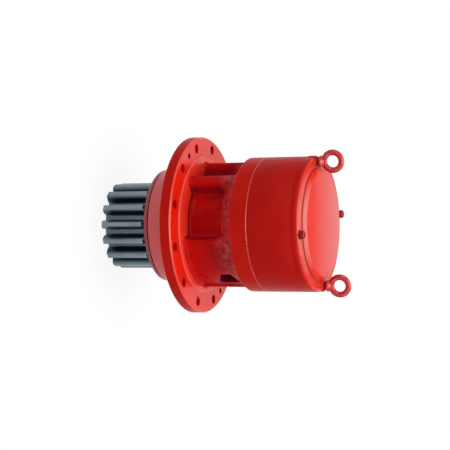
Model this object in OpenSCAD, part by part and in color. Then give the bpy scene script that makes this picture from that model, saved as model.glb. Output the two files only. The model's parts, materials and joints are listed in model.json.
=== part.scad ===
// Excavator swing gearbox: a two-stage planetary reducer with an integral output pinion.
// The origin is on the shaft axis, in the mounting face of the flange. +Z points to the motor end.

/* [Mounting flange] */
// Outer diameter of the mounting flange
flange_d = 410; // [400:1:440]
// Thickness of the mounting flange
flange_t = 26; // [22:1:34]
// Chamfer on the rim edge of the flange, on the side of the neck
flange_chamfer = 3; // [1:0.5:4]
// Distance from the flange's rim to the bolt circle
bolt_edge = 22.5; // [18:0.5:28]
// Number of flange bolts
bolt_count = 12; // [8:1:14]
// Clearance hole for one flange bolt
bolt_hole_d = 22; // [18:0.5:25]
// Jacking thread, core diameter
jack_hole_d = 14; // [10:0.5:17.5]
// Clearance between the bolt holes and the raised pad round the neck
pad_gap = 12.5; // [9:0.5:16]
// Raised pad height
pad_h = 3; // [2:0.5:5]
// Step from the seal cover's edge out to the locating spigot
pilot_step = 3; // [1:0.5:20]
// Locating spigot length
pilot_len = 62; // [58:1:70]

/* [Neck casting] */
// Height from the flange's upper face to the drum
neck_len = 117; // [112:1:130]
// Core around the shaft bearings, diameter
core_d = 206; // [202:1:216]
// How far the four ribs stand inside the drum's outside
rib_inset = 10; // [7:0.5:14]
// Thickness of one rib
rib_w = 22; // [16:1:28]
// How far the two broad walls stand inside the drum's outside
wall_inset = 17; // [13:0.5:22]
// Radius of the casting fillets in the neck
neck_fillet = 9; // [5:1:12]
// Where the core starts to flare out to the drum, measured down from the drum
flare_h = 42; // [34:1:46]
// Height of the core window in each broad wall
window_h = 48; // [30:1:56]
// Grease port drilled in the broad wall, diameter
grease_port_d = 7; // [4:0.5:10]

/* [Drum] */
// Wall of the drum outside the ring gear's teeth
ring_wall = 24.1; // [21:0.1:26]
// Height of the cup that closes the drum below
cup_h = 44; // [42:0.5:52]
// Chamfer on the lower edge of the cup
cup_chamfer = 6; // [3:0.5:9]
// Step from the root of the ring gear's teeth in to the bore of the cup
cup_step = 6.4; // [4:0.2:9]
// Length of the ring gear
ring_gear_len = 103; // [100:0.5:106]
// Thickness of the motor flange
motor_flange_t = 19; // [17:0.5:24]
// Rounded shoulder of the motor flange
shoulder_r = 10; // [6:0.5:12]
// Small edge break at each seam of the drum
seam_chamfer = 1.6; // [0.4:0.1:2]
// Bore for the motor's pilot
motor_bore_d = 125; // [110:1:140]
// Pitch circle of the motor's bolts
motor_pcd = 181; // [170:1:190]
// Core diameter of the motor's bolt threads
motor_thread_d = 14; // [10:0.5:17.5]

/* [Input cover] */
// Distance from the drum's outside to the foot of the cover
cover_inset = 23.5; // [21.5:0.5:28]
// Width of the bevel round the flat top of the cover
cover_bevel = 12; // [10:0.5:20]
// Height of the cover
cover_h = 8; // [7:0.5:12]
// Depth of the cover's plug in the motor bore
cover_plug_h = 5; // [4:0.5:7]

/* [Lifting eyes and screws] */
// Distance from the drum's outside to the eye bolts, cap screws and dowels in it
screw_edge = 11.5; // [10:0.25:12.5]
// Angle of the lifting eyes, from the X axis
lift_angle = 9; // [0:1:20]
// Diameter of the ear under each eye bolt
ear_d = 27; // [25:1:32]
// Height of the ear above the motor flange's face
ear_rise = 2; // [1:0.5:4]
// Thread of the eye bolts and drum screws
thread_d = 12; // [10:0.5:12.5]
// Inner diameter of the eye
eye_inner_d = 30; // [26:1:34]
// Bar diameter of the eye
eye_bar_d = 12; // [10:0.5:14]
// Collar of the eye bolt, diameter
eye_collar_d = 27; // [24:1:30]
// Collar of the eye bolt, height
eye_collar_h = 10; // [8:0.5:13]
// Jam nut, across flats
jam_nut_af = 18; // [17:0.5:19]
// Jam nut, height
jam_nut_h = 6; // [5:0.5:8]
// Cap screw head, diameter
screw_head_d = 18; // [16:0.5:20]
// Cap screw head, height
screw_head_h = 12; // [10:0.5:14]
// Dowel diameter
dowel_d = 8; // [6:0.5:10]

/* [Output pinion and shaft] */
// Tooth module of the output pinion
pinion_module = 12; // [11:0.5:12]
// Number of teeth on the output pinion
pinion_teeth = 15; // [14:1:16]
// Width of the output pinion's teeth
pinion_face = 105.5; // [90:0.5:120]
// Chamfer on the ends of the teeth
pinion_chamfer = 4; // [2:0.5:6]
// Angle of the first tooth, from the X axis
pinion_turn = -92; // [-102:1:-80]
// Shaft shoulder that runs in the oil seal, diameter
seal_run_d = 150; // [146:1:154]
// Length of bare shoulder between the pinion and the seal cover
collar_len = 17; // [14:0.5:26]
// Thickness of the seal cover
seal_cover_t = 11.5; // [8:0.5:12]
// Distance from the seal cover's screws to its edge
seal_cover_edge = 11; // [9:0.5:12]
// Height of the shadow groove between seal cover and spigot
shadow_groove_h = 3; // [1:0.5:3.5]
// Seat of the oil seal, diameter
seal_seat_d = 184; // [176:1:190]
// Distance from the lower bearing's seat to the seal cover's screws
seal_screw_gap = 11.5; // [11:0.5:12.5]
// Thread of the seal cover screws
seal_screw_d = 8; // [6:0.5:8]

/* [Shaft bearings] */
// Lower bearing bore
lower_bore_d = 120; // [116:1:124]
// Lower bearing outer diameter
lower_outer_d = 215; // [211:1:217]
// Lower bearing width
lower_w = 58; // [54:1:60]
// Upper bearing bore
upper_bore_d = 100; // [96:1:104]
// Upper bearing outer diameter
upper_outer_d = 180; // [176:1:182]
// Upper bearing width
upper_w = 46; // [42:1:48]
// Length of the spacer between the bearings
spacer_len = 92; // [90:1:96]
// Lock nut height
nut_h = 12; // [9:1:14]
// Contact angle of the bearing rollers
contact_angle = 12; // [9:0.5:14]

/* [Planet stages] */
// Tooth module of both planetary stages
gear_module = 4; // [3.9:0.02:4.04]
// Width of the output stage gears
output_gear_w = 40; // [36:0.5:42]
// Width of the input stage gears
input_gear_w = 22; // [18:0.5:24]
// Output carrier plate thickness
carrier_plate_t = 18; // [15:0.5:19]
// Output carrier bridge thickness
bridge_t = 10; // [8:0.5:11]
// Input carrier plate thickness
input_plate_t = 12; // [10:0.5:14]
// Output planet pin diameter
output_pin_d = 36; // [30:1:42]
// Input planet pin diameter
input_pin_d = 28; // [24:1:32]
// Wall of the planet bushes
bush_wall = 3; // [2:0.5:4]
// Thickness of the planets' thrust washers
washer_t = 2.2; // [1.5:0.1:2.6]

/* [Fits] */
// Radial gap of seated round parts
seat_gap = 0.02; // [0.01:0.01:0.04]
// Radial gap of parts that turn on each other
running_gap = 0.06; // [0.04:0.01:0.1]
// Side clearance of turning gears
side_gap = 0.3; // [0.3:0.05:0.5]
// Backlash between two internal gears
backlash = 0.4; // [0.36:0.02:0.6]

/* [Hidden] */
$fn = 96;

// Finishes
red_paint = "#b8141a";
dark_steel = "#3c4a52";
bright_steel = "#a9adb0";
bearing_steel = "#c3c7ca";
bronze = "#b0803c";
black_rubber = "#1c1c1e";

// Levels along the axis, from the pinion's end to the eyes
z_pilot_end = -pilot_len;
z_seal_cover = z_pilot_end - seal_cover_t;
z_pinion_top = z_seal_cover - collar_len;
z_pinion_end = z_pinion_top - pinion_face;
cover_spigot_h = 4;
z_lower_0 = z_pilot_end + cover_spigot_h;
z_lower_1 = z_lower_0 + lower_w;
z_upper_0 = z_lower_1 + spacer_len;
z_upper_1 = z_upper_0 + upper_w;
z_nut_top = z_upper_1 + nut_h;
z_hub = z_nut_top + 2;
z_pad = flange_t + pad_h;
z_neck_top = flange_t + neck_len;
z_cup_floor = z_neck_top + 15;
z_ring_0 = z_neck_top + cup_h;
z_ring_1 = z_ring_0 + ring_gear_len;
z_top = z_ring_1 + motor_flange_t;
z_ear = z_top + ear_rise;
eye_sink = 7;
z_eye = z_ear + jam_nut_h + eye_collar_h - eye_sink + eye_bar_d + eye_inner_d / 2;

// Levels of the gear train, which hangs on the ring gear's lower face
z_plate_1 = z_ring_0 + 1.5;
z_plate_0 = z_plate_1 - carrier_plate_t;
z_output_0 = z_plate_1 + washer_t + side_gap;
z_output_1 = z_output_0 + output_gear_w;
z_bridge_0 = z_output_1 + side_gap + washer_t;
z_bridge_1 = z_bridge_0 + bridge_t;
z_input_plate_0 = z_bridge_1 + 2.5;
z_input_plate_1 = z_input_plate_0 + input_plate_t;
z_input_0 = z_input_plate_1 + washer_t + side_gap;
z_input_1 = z_input_0 + input_gear_w;
z_input_washer_1 = z_input_1 + side_gap + washer_t;

// Tooth counts: the ring takes each stage's sun and two planets across
output_sun_teeth = 21;
output_planet_teeth = 21;
input_sun_teeth = 15;
input_planet_teeth = 24;
ring_teeth = output_sun_teeth + 2 * output_planet_teeth;
output_planet_count = 4;
input_planet_count = 3;
pressure_angle = 20;
addendum = 0.8 * gear_module;
dedendum = 1.1 * gear_module;
pinion_addendum = 11 / 12 * pinion_module;
pinion_dedendum = 1.25 * pinion_module;
output_centre_r = gear_module * (output_sun_teeth + output_planet_teeth) / 2;
input_centre_r = gear_module * (input_sun_teeth + input_planet_teeth) / 2;
ring_tip_r = gear_module * ring_teeth / 2 - addendum;
ring_root_r = gear_module * ring_teeth / 2 + dedendum;
output_tip_r = gear_module * output_planet_teeth / 2 + addendum;
carrier_r = ring_tip_r - 4;

// Radii
flange_r = flange_d / 2;
core_r = core_d / 2;
flange_bolt_r = flange_r - bolt_edge;
pad_r = flange_bolt_r - bolt_hole_d / 2 - pad_gap;
drum_r = ring_root_r + ring_wall;
rib_r = drum_r - rib_inset;
wall_r = drum_r - wall_inset;
bolt_circle_r = drum_r - screw_edge;
cover_r = drum_r - cover_inset;
lower_seat_r = lower_outer_d / 2;
seal_screw_r = lower_seat_r + seal_screw_gap;
seal_cover_r = seal_screw_r + seal_cover_edge;
pilot_r = seal_cover_r + pilot_step;
upper_seat_r = upper_outer_d / 2;
cavity_r = upper_seat_r - 2;
cup_bore_r = ring_root_r - cup_step;
thread_r = thread_d / 2;
clearance_r = thread_r + 0.5;
cutter = 1;

// Layout round the neck, in degrees from the X axis; each feature repeats half a turn on
rib_angles = [42, 177];
wall_start = 104;
wall_end = 171;
window_start = 146;
window_end = 166;
grease_port_angle = 151;
half_turns = [0, 180];
seal_screw_count = 8;
seal_screw_reach = 16;
cap_screw_reach = 24;
hole_spare = 2;

// Splines
shaft_spline_r = upper_bore_d / 2 - 1;
sun_spline_r = gear_module * output_sun_teeth / 2 - dedendum - 1.6;
input_spline_r = 16;
spline_depth = 3;
spline_gap = 0.08;

// Point at radius r and angle a
function polar(r, a) = [r * cos(a), r * sin(a)];

// Points of an arc round a centre, both ends included
function arc(centre, r, a0, a1, steps) =
    [for (i = [0:steps]) centre + polar(r, a0 + (a1 - a0) * i / steps)];

// Involute function of an angle, in degrees
function involute(a) = tan(a) * 180 / PI - a;

// Half the angle that a tooth fills at radius r; below the base circle the flank is radial
function half_tooth(r, pitch_r, thickness) =
    thickness / 2 / pitch_r * 180 / PI + involute(pressure_angle)
    - involute(acos(min(1, pitch_r * cos(pressure_angle) / r)));

// One flank from root to tip: a quarter-round root fillet, then the involute
function flank(side, centre, pitch_r, root_r, tip_r, thickness, fillet, steps) =
    let (
        first_r = root_r + fillet,
        fillet_steps = fillet > 0 ? 4 : 0
    )
    concat(
        [for (i = [0:1:fillet_steps - 1])
            let (t = 90 * i / fillet_steps, swing = fillet * (1 - sin(t)) / root_r * 180 / PI)
            polar(root_r + fillet * (1 - cos(t)),
                  centre + side * (half_tooth(first_r, pitch_r, thickness) + swing))],
        [for (i = [0:steps])
            let (r = first_r + (tip_r - first_r) * i / steps)
            polar(r, centre + side * half_tooth(r, pitch_r, thickness))]
    );

function reversed(list) = [for (i = [len(list) - 1:-1:0]) list[i]];

// Outline of a gear with a tooth on the X axis
function gear_outline(module_mm, teeth, add, ded, slack, fillet, steps) =
    let (
        pitch_r = module_mm * teeth / 2,
        thickness = PI * module_mm / 2 - slack
    )
    [for (k = [0:teeth - 1])
        let (centre = k * 360 / teeth)
        each concat(
            flank(-1, centre, pitch_r, pitch_r - ded, pitch_r + add, thickness, fillet, steps),
            reversed(flank(1, centre, pitch_r, pitch_r - ded, pitch_r + add, thickness, fillet, steps))
        )];

// Outline of a straight-sided spline whose teeth stand on a root circle
function spline_outline(root_r, tip_r, teeth) =
    let (step = 360 / teeth)
    [for (k = [0:teeth - 1])
        each [
            polar(root_r, (k - 0.29) * step), polar(tip_r, (k - 0.2) * step),
            polar(tip_r, (k + 0.2) * step), polar(root_r, (k + 0.29) * step)
        ]];

// Same spline, grown all round by a gap, as the hole for it
function spline_hole(root_r, tip_r, teeth, gap) =
    let (step = 360 / teeth, swing = gap / root_r * 180 / PI)
    [for (k = [0:teeth - 1])
        each [
            polar(root_r + gap, (k - 0.29) * step - swing), polar(tip_r + gap, (k - 0.2) * step - swing),
            polar(tip_r + gap, (k + 0.2) * step + swing), polar(root_r + gap, (k + 0.29) * step + swing)
        ]];

// Ring between two radii, from z0 up to z1
module tube(r_out, r_in, z0, z1) {
    translate([0, 0, z0])
        difference() {
            cylinder(r = r_out, h = z1 - z0);
            translate([0, 0, -cutter])
                cylinder(r = r_in, h = z1 - z0 + 2 * cutter);
        }
}

// Disc from z0 up to z1
module disc(r, z0, z1) {
    translate([0, 0, z0])
        cylinder(r = r, h = z1 - z0);
}

// Prism of an outline from z0 up to z1
module prism(points, z0, z1) {
    translate([0, 0, z0])
        linear_extrude(height = z1 - z0)
            polygon(points);
}

// Copies round the axis at a radius
module around(count, r, start = 0) {
    for (k = [0:count - 1])
        rotate([0, 0, start + k * 360 / count])
            translate([r, 0, 0])
                children();
}

// Round cord ring lying in a groove
module cord_ring(r, z, cord_r) {
    translate([0, 0, z])
        rotate_extrude()
            translate([r, 0])
                circle(r = cord_r, $fn = 32);
}

// Sector between two angles, as a plan outline
module sector_plan(a0, a1, r) {
    polygon(concat([[0, 0]], [for (i = [0:6]) polar(1.3 * r, a0 + (a1 - a0) * i / 6)]));
}

// Housing casting

// Revolved outside: spigot, flange, pad, core with its flare, and cup
module housing_outside() {
    edge = 1.5;
    rim_edge = 0.6;
    pad_slope = 2.6;
    flare_r = core_r + flare_h;
    rotate_extrude()
        polygon(concat(
            [[0, z_pilot_end], [pilot_r - edge, z_pilot_end], [pilot_r, z_pilot_end + edge], [pilot_r, 0]],
            [[flange_r - rim_edge, 0], [flange_r, rim_edge]],
            [[flange_r, flange_t - flange_chamfer], [flange_r - flange_chamfer, flange_t]],
            [[pad_r, flange_t], [pad_r - pad_slope, z_pad]],
            arc([core_r + neck_fillet, z_pad + neck_fillet], neck_fillet, 270, 180, 5),
            [[core_r, z_neck_top - flare_h - neck_fillet / 2]],
            [[core_r + neck_fillet / 4, z_neck_top - flare_h]],
            [[min(flare_r, drum_r - cup_chamfer - 3) - 4, z_neck_top - 4]],
            [[min(flare_r, drum_r - cup_chamfer - 3), z_neck_top]],
            [[drum_r - cup_chamfer, z_neck_top], [drum_r, z_neck_top + cup_chamfer]],
            [[drum_r, z_ring_0 - seam_chamfer], [drum_r - seam_chamfer, z_ring_0], [0, z_ring_0]]
        ));
}

// Fillet between the core and a flat side that stands at distance h from a radial line
module side_fillet_plan(h, side) {
    centre_y = h + neck_fillet;
    centre_x = sqrt(pow(core_r + neck_fillet, 2) - pow(centre_y, 2));
    scale_to_core = (core_r - 2) / (core_r + neck_fillet);
    mirror([0, side < 0 ? 1 : 0])
        difference() {
            polygon([
                [centre_x, h - 1], [centre_x, centre_y],
                [centre_x * scale_to_core, centre_y * scale_to_core], [core_r - 8, h - 1]
            ]);
            translate([centre_x, centre_y])
                circle(r = neck_fillet + 0.4, $fn = 48);
        }
}

// One rib in plan, along the X axis
module rib_plan() {
    corner = 5;
    corner_x = sqrt(pow(rib_r - corner, 2) - pow(rib_w / 2 - corner, 2));
    intersection() {
        union() {
            translate([core_r - 10, -rib_w / 2])
                square([corner_x - core_r + 10, rib_w]);
            translate([core_r - 10, corner - rib_w / 2])
                square([rib_r, rib_w - 2 * corner]);
            for (side = [-1, 1])
                translate([corner_x, side * (rib_w / 2 - corner)])
                    circle(r = corner, $fn = 24);
        }
        circle(r = rib_r);
    }
    for (side = [-1, 1])
        side_fillet_plan(rib_w / 2, side);
}

// Broad wall in plan, with its free end rounded into the core
wall_corner_r = 8;
wall_corner_angle = asin(wall_corner_r / (wall_r - wall_corner_r));

module wall_plan() {
    intersection() {
        difference() {
            union() {
                circle(r = wall_r - wall_corner_r);
                intersection() {
                    circle(r = wall_r);
                    sector_plan(wall_start + wall_corner_angle, wall_end, wall_r);
                }
                translate(polar(wall_r - wall_corner_r, wall_start + wall_corner_angle))
                    circle(r = wall_corner_r, $fn = 32);
            }
            circle(r = core_r - 6);
        }
        sector_plan(wall_start, wall_end, wall_r);
    }
    rotate([0, 0, wall_start])
        side_fillet_plan(0, -1);
}

// Section of the two concave beads at a wall whose face is at distance r
module bead_section(r, bead) {
    sink = 0.15;
    inside = r - 3;
    middle = r + bead - sink;
    polygon(concat(
        [[inside, z_pad - 1], [middle, z_pad - 1]],
        arc([middle, z_pad + bead], bead, 270, 180, 4),
        [[inside, z_pad + bead]]
    ));
    polygon(concat(
        [[inside, z_neck_top + 1], [inside, z_neck_top - bead]],
        arc([middle, z_neck_top - bead], bead, 180, 90, 4),
        [[middle, z_neck_top + 1]]
    ));
}

// Beads where the broad wall stands on the pad and runs into the drum, round its corner too
module wall_beads() {
    bead = 7;
    rotate([0, 0, wall_start + wall_corner_angle])
        rotate_extrude(angle = wall_end - wall_start - wall_corner_angle - 1)
            bead_section(wall_r, bead);
    translate(polar(wall_r - wall_corner_r, wall_start + wall_corner_angle))
        rotate_extrude($fn = 32)
            bead_section(wall_corner_r, bead - 0.5);
}

// Ribs and walls that stand round the core, from the pad up to the drum
module neck_structure() {
    overlap = 2;
    for (turn = half_turns)
        rotate([0, 0, turn]) {
            translate([0, 0, flange_t - overlap])
                linear_extrude(height = neck_len + 2 * overlap) {
                    for (a = rib_angles)
                        rotate(a)
                            rib_plan();
                    wall_plan();
                }
            wall_beads();
        }
}

// Deep window that lightens the broad wall beside its rib; both its ends lean in towards the wall's start
module wall_window() {
    floor_r = core_r - 3;
    window_top = z_neck_top - 15;
    window_low = window_top - window_h;
    lean_low = 15;
    lean_high = 9;
    middle = (window_start + window_end) / 2;
    half_w = wall_r * sin((window_end - window_start) / 2);
    intersection() {
        tube(drum_r, floor_r, window_low, window_top);
        rotate([0, 0, middle])
            rotate([90, 0, 90])
                linear_extrude(height = drum_r)
                    polygon([
                        [-half_w, window_low + lean_low], [-half_w, window_top - lean_high],
                        [half_w / 2, window_top], [half_w, window_top],
                        [half_w, window_low], [half_w / 2, window_low]
                    ]);
    }
}

// Bored inside of the housing: bearing seats, oil space and cup
module housing_inside() {
    shoulder = 9.5;
    lead_in = cover_spigot_h;
    rotate_extrude()
        polygon([
            [0, z_pilot_end - cutter], [lower_seat_r + lead_in + cutter, z_pilot_end - cutter],
            [lower_seat_r, z_lower_0], [lower_seat_r, z_lower_1],
            [lower_seat_r - shoulder, z_lower_1], [lower_seat_r - shoulder, z_lower_1 + 6],
            [cavity_r, z_lower_1 + 6 + shoulder], [cavity_r, z_upper_0 - 12], [cavity_r - 6, z_upper_0 - 6],
            [cavity_r - 6, z_upper_0], [upper_seat_r, z_upper_0], [upper_seat_r, z_cup_floor],
            [cup_bore_r, z_cup_floor], [cup_bore_r, z_ring_0 + cutter], [0, z_ring_0 + cutter]
        ]);
}

// Level and angle of the drain plug in the cup wall
plug_z = (z_cup_floor + z_ring_0) / 2;
plug_angle = 90;
plug_r = 10;
plug_collar_r = 13;
plug_seat_r = drum_r - 2.5;

module at_plug() {
    rotate([0, 0, plug_angle])
        translate([0, 0, plug_z])
            rotate([0, 90, 0])
                children();
}

module housing() {
    port_depth = 14;
    color(red_paint)
        difference() {
            union() {
                housing_outside();
                neck_structure();
            }
            housing_inside();
            around(bolt_count, flange_bolt_r, 180 / bolt_count)
                disc(bolt_hole_d / 2, -cutter, flange_t + cutter);
            around(2, flange_bolt_r, 360 / bolt_count)
                disc(jack_hole_d / 2, -cutter, flange_t + cutter);
            for (turn = half_turns)
                rotate([0, 0, turn]) {
                    wall_window();
                    rotate([0, 0, grease_port_angle])
                        translate([wall_r - port_depth, 0, flange_t + neck_len / 4])
                            rotate([0, 90, 0])
                                cylinder(r = grease_port_d / 2, h = port_depth + cutter);
                }
            around(seal_screw_count, seal_screw_r, 180 / seal_screw_count)
                disc(seal_screw_d / 2 + seat_gap, z_pilot_end - cutter,
                     z_pilot_end + seal_screw_reach + hole_spare);
            around(2, bolt_circle_r, lift_angle + 90)
                disc(thread_r + seat_gap, z_ring_0 - cap_screw_reach - hole_spare, z_ring_0 + cutter);
            around(2, bolt_circle_r, lift_angle + 45)
                disc(dowel_d / 2 + seat_gap, z_ring_0 - 8, z_ring_0 + cutter);
            at_plug()
                cylinder(r = plug_r + seat_gap, h = drum_r + cutter);
            at_plug()
                translate([0, 0, plug_seat_r])
                    cylinder(r = plug_collar_r + 1.5, h = drum_r - plug_seat_r + cutter);
        }
}

module drain_plug() {
    color(dark_steel)
        at_plug()
            difference() {
                union() {
                    translate([0, 0, plug_seat_r])
                        cylinder(r = plug_collar_r, h = 4);
                    translate([0, 0, plug_seat_r - 14])
                        cylinder(r = plug_r, h = 15);
                }
                translate([0, 0, plug_seat_r - 4])
                    cylinder(r = 5.8, h = 9, $fn = 6);
            }
}

// Lower end: seal cover, seal and screws

seal_seat_r = seal_seat_d / 2;
seal_run_r = seal_run_d / 2;

module seal_cover() {
    lip = 1.5;
    bevel = 2;
    groove = 3.5;
    z_body = z_pilot_end - shadow_groove_h;
    color(red_paint)
        difference() {
            rotate_extrude()
                polygon([
                    [seal_run_r + 4, z_seal_cover], [seal_cover_r - bevel, z_seal_cover],
                    [seal_cover_r, z_seal_cover + bevel],
                    [seal_cover_r, z_body], [seal_cover_r - groove, z_body],
                    [seal_cover_r - groove, z_pilot_end],
                    [lower_seat_r - 0.2, z_pilot_end], [lower_seat_r - 0.2, z_lower_0 - 0.05],
                    [seal_seat_r, z_lower_0 - 0.05], [seal_seat_r, z_seal_cover + lip],
                    [seal_run_r + 4, z_seal_cover + lip]
                ]);
            around(seal_screw_count, seal_screw_r, 180 / seal_screw_count) {
                disc(seal_screw_d / 2 + 0.5, z_seal_cover - cutter, z_pilot_end + cutter);
                translate([0, 0, z_seal_cover - 0.01])
                    cylinder(r1 = seal_screw_d, r2 = seal_screw_d / 2, h = seal_screw_d / 2 + 0.6);
            }
        }
}

module seal_cover_screws() {
    sunk = 0.3;
    color(dark_steel)
        around(seal_screw_count, seal_screw_r, 180 / seal_screw_count)
            difference() {
                union() {
                    translate([0, 0, z_seal_cover + sunk])
                        cylinder(r1 = seal_screw_d - sunk - 0.3, r2 = seal_screw_d / 2,
                                 h = seal_screw_d / 2 - sunk);
                    disc(seal_screw_d / 2, z_seal_cover + seal_screw_d / 2 - 0.5,
                         z_pilot_end + seal_screw_reach);
                }
                translate([0, 0, z_seal_cover - cutter])
                    cylinder(r = 2.9, h = cutter + sunk + 2.6, $fn = 6);
            }
}

module seal_cover_o_ring() {
    color(black_rubber)
        cord_ring(lower_seat_r + 1.1, z_pilot_end + 1.15, 1);
}

// Shaft seal: a channel section with its lip on the shaft shoulder
module oil_seal() {
    z0 = z_seal_cover + 1.5;
    z1 = z_lower_0 - 0.5;
    color(black_rubber)
        rotate_extrude()
            polygon([
                [seal_seat_r - seat_gap, z0], [seal_seat_r - seat_gap, z1], [seal_seat_r - 3, z1],
                [seal_seat_r - 3, z0 + 3], [seal_run_r + 4, z0 + 3], [seal_run_r + 3, z0 + 7],
                [seal_run_r + running_gap, z0 + 6], [seal_run_r + running_gap, z0 + 4],
                [seal_run_r + 2, z0]
            ]);
}

// Tapered roller bearings. Each value is a list: bore, outer radius, width and level.

lower_bearing = [lower_bore_d / 2, lower_seat_r, lower_w, z_lower_0];
upper_bearing = [upper_bore_d / 2, upper_seat_r, upper_w, z_upper_0];
roller_taper = 2;

function bearing_pitch_r(b) = (b[0] + b[1]) / 2;
function roller_r(b) = 0.22 * (b[1] - b[0]);
function roller_len(b) = 0.6 * b[2];
function roller_count(b) = floor(2 * PI * bearing_pitch_r(b) / (2.5 * roller_r(b)));

// Point at distance t along a roller's axis and distance n across it; flip turns the bearing over
function roller_point(b, flip, t, n) =
    let (tilt = flip * contact_angle)
    [bearing_pitch_r(b) + t * sin(contact_angle) + n * cos(contact_angle),
     b[3] + b[2] / 2 + flip * (t * cos(contact_angle) - n * sin(contact_angle))];

// Surface of a roller at distance t, with a clearance, as a distance across its axis
function roller_side(b, t, gap) = roller_r(b) + t * tan(roller_taper) + gap;

module bearing_inner_ring(b, flip) {
    gap = 0.08;
    half = roller_len(b) / 2;
    z_small = flip > 0 ? b[3] : b[3] + b[2];
    z_big = flip > 0 ? b[3] + b[2] : b[3];
    small = roller_point(b, flip, -half - 2, -roller_side(b, -half - 2, gap));
    big = roller_point(b, flip, half + 0.3, -roller_side(b, half + 0.3, gap));
    rib = roller_point(b, flip, half + 0.3, -0.62 * roller_r(b));
    color(bearing_steel)
        rotate_extrude()
            polygon([
                [b[0] + seat_gap, z_small], [small[0], z_small], small, big, rib, [rib[0], z_big],
                [b[0] + seat_gap, z_big]
            ]);
}

module bearing_outer_ring(b, flip) {
    gap = 0.08;
    half = roller_len(b) / 2;
    z_small = flip > 0 ? b[3] + 2 : b[3] + b[2] - 2;
    z_big = flip > 0 ? b[3] + b[2] : b[3];
    small = roller_point(b, flip, -half - 1, roller_side(b, -half - 1, gap));
    big = roller_point(b, flip, half + 1, roller_side(b, half + 1, gap));
    color(bearing_steel)
        rotate_extrude()
            polygon([
                [b[1] - seat_gap, z_small], [small[0], z_small], small, big, [big[0], z_big],
                [b[1] - seat_gap, z_big]
            ]);
}

// One roller, or the pocket for it when a gap is given
module roller(b, flip, gap) {
    half = roller_len(b) / 2 + gap;
    middle = roller_point(b, flip, 0, 0);
    translate([middle[0], 0, middle[1]])
        rotate([0, flip > 0 ? contact_angle : 180 - contact_angle, 0])
            translate([0, 0, -half])
                cylinder(r1 = roller_side(b, -half, gap), r2 = roller_side(b, half, gap),
                         h = 2 * half, $fn = 48);
}

module bearing_rollers(b, flip) {
    color(bearing_steel)
        around(roller_count(b), 0)
            roller(b, flip, 0);
}

module bearing_cage(b, flip) {
    half = roller_len(b) / 2 + 3.5;
    sheet = 1.3;
    color(bright_steel)
        difference() {
            rotate_extrude()
                polygon([
                    roller_point(b, flip, -half, -sheet), roller_point(b, flip, half, -sheet),
                    roller_point(b, flip, half, sheet), roller_point(b, flip, -half, sheet)
                ]);
            around(roller_count(b), 0)
                roller(b, flip, 0.4);
        }
}

// Output shaft with its pinion, and what is clamped on it

spline_teeth = 20;
nut_r = upper_bore_d / 2 + 16;
spacer_bore_r = (lower_bore_d + upper_bore_d) / 4;
shaft_end_z = z_plate_1 + 0.5;
retaining_z = z_plate_1 - 6;
groove_r = shaft_spline_r - spline_depth - 4;

module pinion_teeth_solid() {
    tip_r = pinion_module * pinion_teeth / 2 + pinion_addendum;
    intersection() {
        rotate([0, 0, pinion_turn])
            prism(gear_outline(pinion_module, pinion_teeth, pinion_addendum, pinion_dedendum, 0.6, 4, 7),
                  z_pinion_end, z_pinion_top);
        rotate_extrude()
            polygon([
                [0, z_pinion_end], [tip_r - pinion_chamfer, z_pinion_end],
                [tip_r + cutter, z_pinion_end + 0.7 * (pinion_chamfer + cutter)],
                [tip_r + cutter, z_pinion_top - 0.7 * (pinion_chamfer + cutter)],
                [tip_r - pinion_chamfer, z_pinion_top], [0, z_pinion_top]
            ]);
    }
}

module pinion_shaft() {
    centre_hole_r = 12;
    centre_hole_depth = 40;
    color(dark_steel)
        difference() {
            union() {
                pinion_teeth_solid();
                rotate_extrude()
                    polygon([
                        [0, z_pinion_top - 10], [seal_run_r - 2, z_pinion_top - 10],
                        [seal_run_r - 2, z_pinion_top], [seal_run_r, z_pinion_top + 2],
                        [seal_run_r, z_lower_0], [lower_bore_d / 2, z_lower_0],
                        [lower_bore_d / 2, z_lower_1 - 2], [spacer_bore_r, z_lower_1 - 2],
                        [spacer_bore_r, z_upper_0 - 2], [upper_bore_d / 2, z_upper_0 - 2],
                        [upper_bore_d / 2, z_nut_top], [shaft_spline_r - spline_depth - 1, z_nut_top + 1],
                        [shaft_spline_r - spline_depth - 1, retaining_z + 1],
                        [groove_r, retaining_z + 1], [groove_r, retaining_z + 4],
                        [shaft_spline_r - spline_depth - 1, retaining_z + 4],
                        [shaft_spline_r - spline_depth - 1, shaft_end_z - 1],
                        [shaft_spline_r - spline_depth - 2, shaft_end_z], [0, shaft_end_z]
                    ]);
                prism(spline_outline(shaft_spline_r - spline_depth, shaft_spline_r, spline_teeth),
                      z_nut_top - 1, retaining_z + 0.8);
            }
            translate([0, 0, z_pinion_end - cutter])
                cylinder(r = centre_hole_r, h = centre_hole_depth + cutter);
            translate([0, 0, z_pinion_end - 0.01])
                cylinder(r1 = centre_hole_r + 5, r2 = centre_hole_r - 1, h = 6);
        }
}

module lower_bearing_inner_ring() {
    bearing_inner_ring(lower_bearing, -1);
}

module lower_bearing_outer_ring() {
    bearing_outer_ring(lower_bearing, -1);
}

module lower_bearing_rollers() {
    bearing_rollers(lower_bearing, -1);
}

module lower_bearing_cage() {
    bearing_cage(lower_bearing, -1);
}

module upper_bearing_inner_ring() {
    bearing_inner_ring(upper_bearing, 1);
}

module upper_bearing_outer_ring() {
    bearing_outer_ring(upper_bearing, 1);
}

module upper_bearing_rollers() {
    bearing_rollers(upper_bearing, 1);
}

module upper_bearing_cage() {
    bearing_cage(upper_bearing, 1);
}

module bearing_spacer() {
    color(bright_steel)
        tube(spacer_bore_r + 10, spacer_bore_r + seat_gap, z_lower_1, z_upper_0);
}

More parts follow.
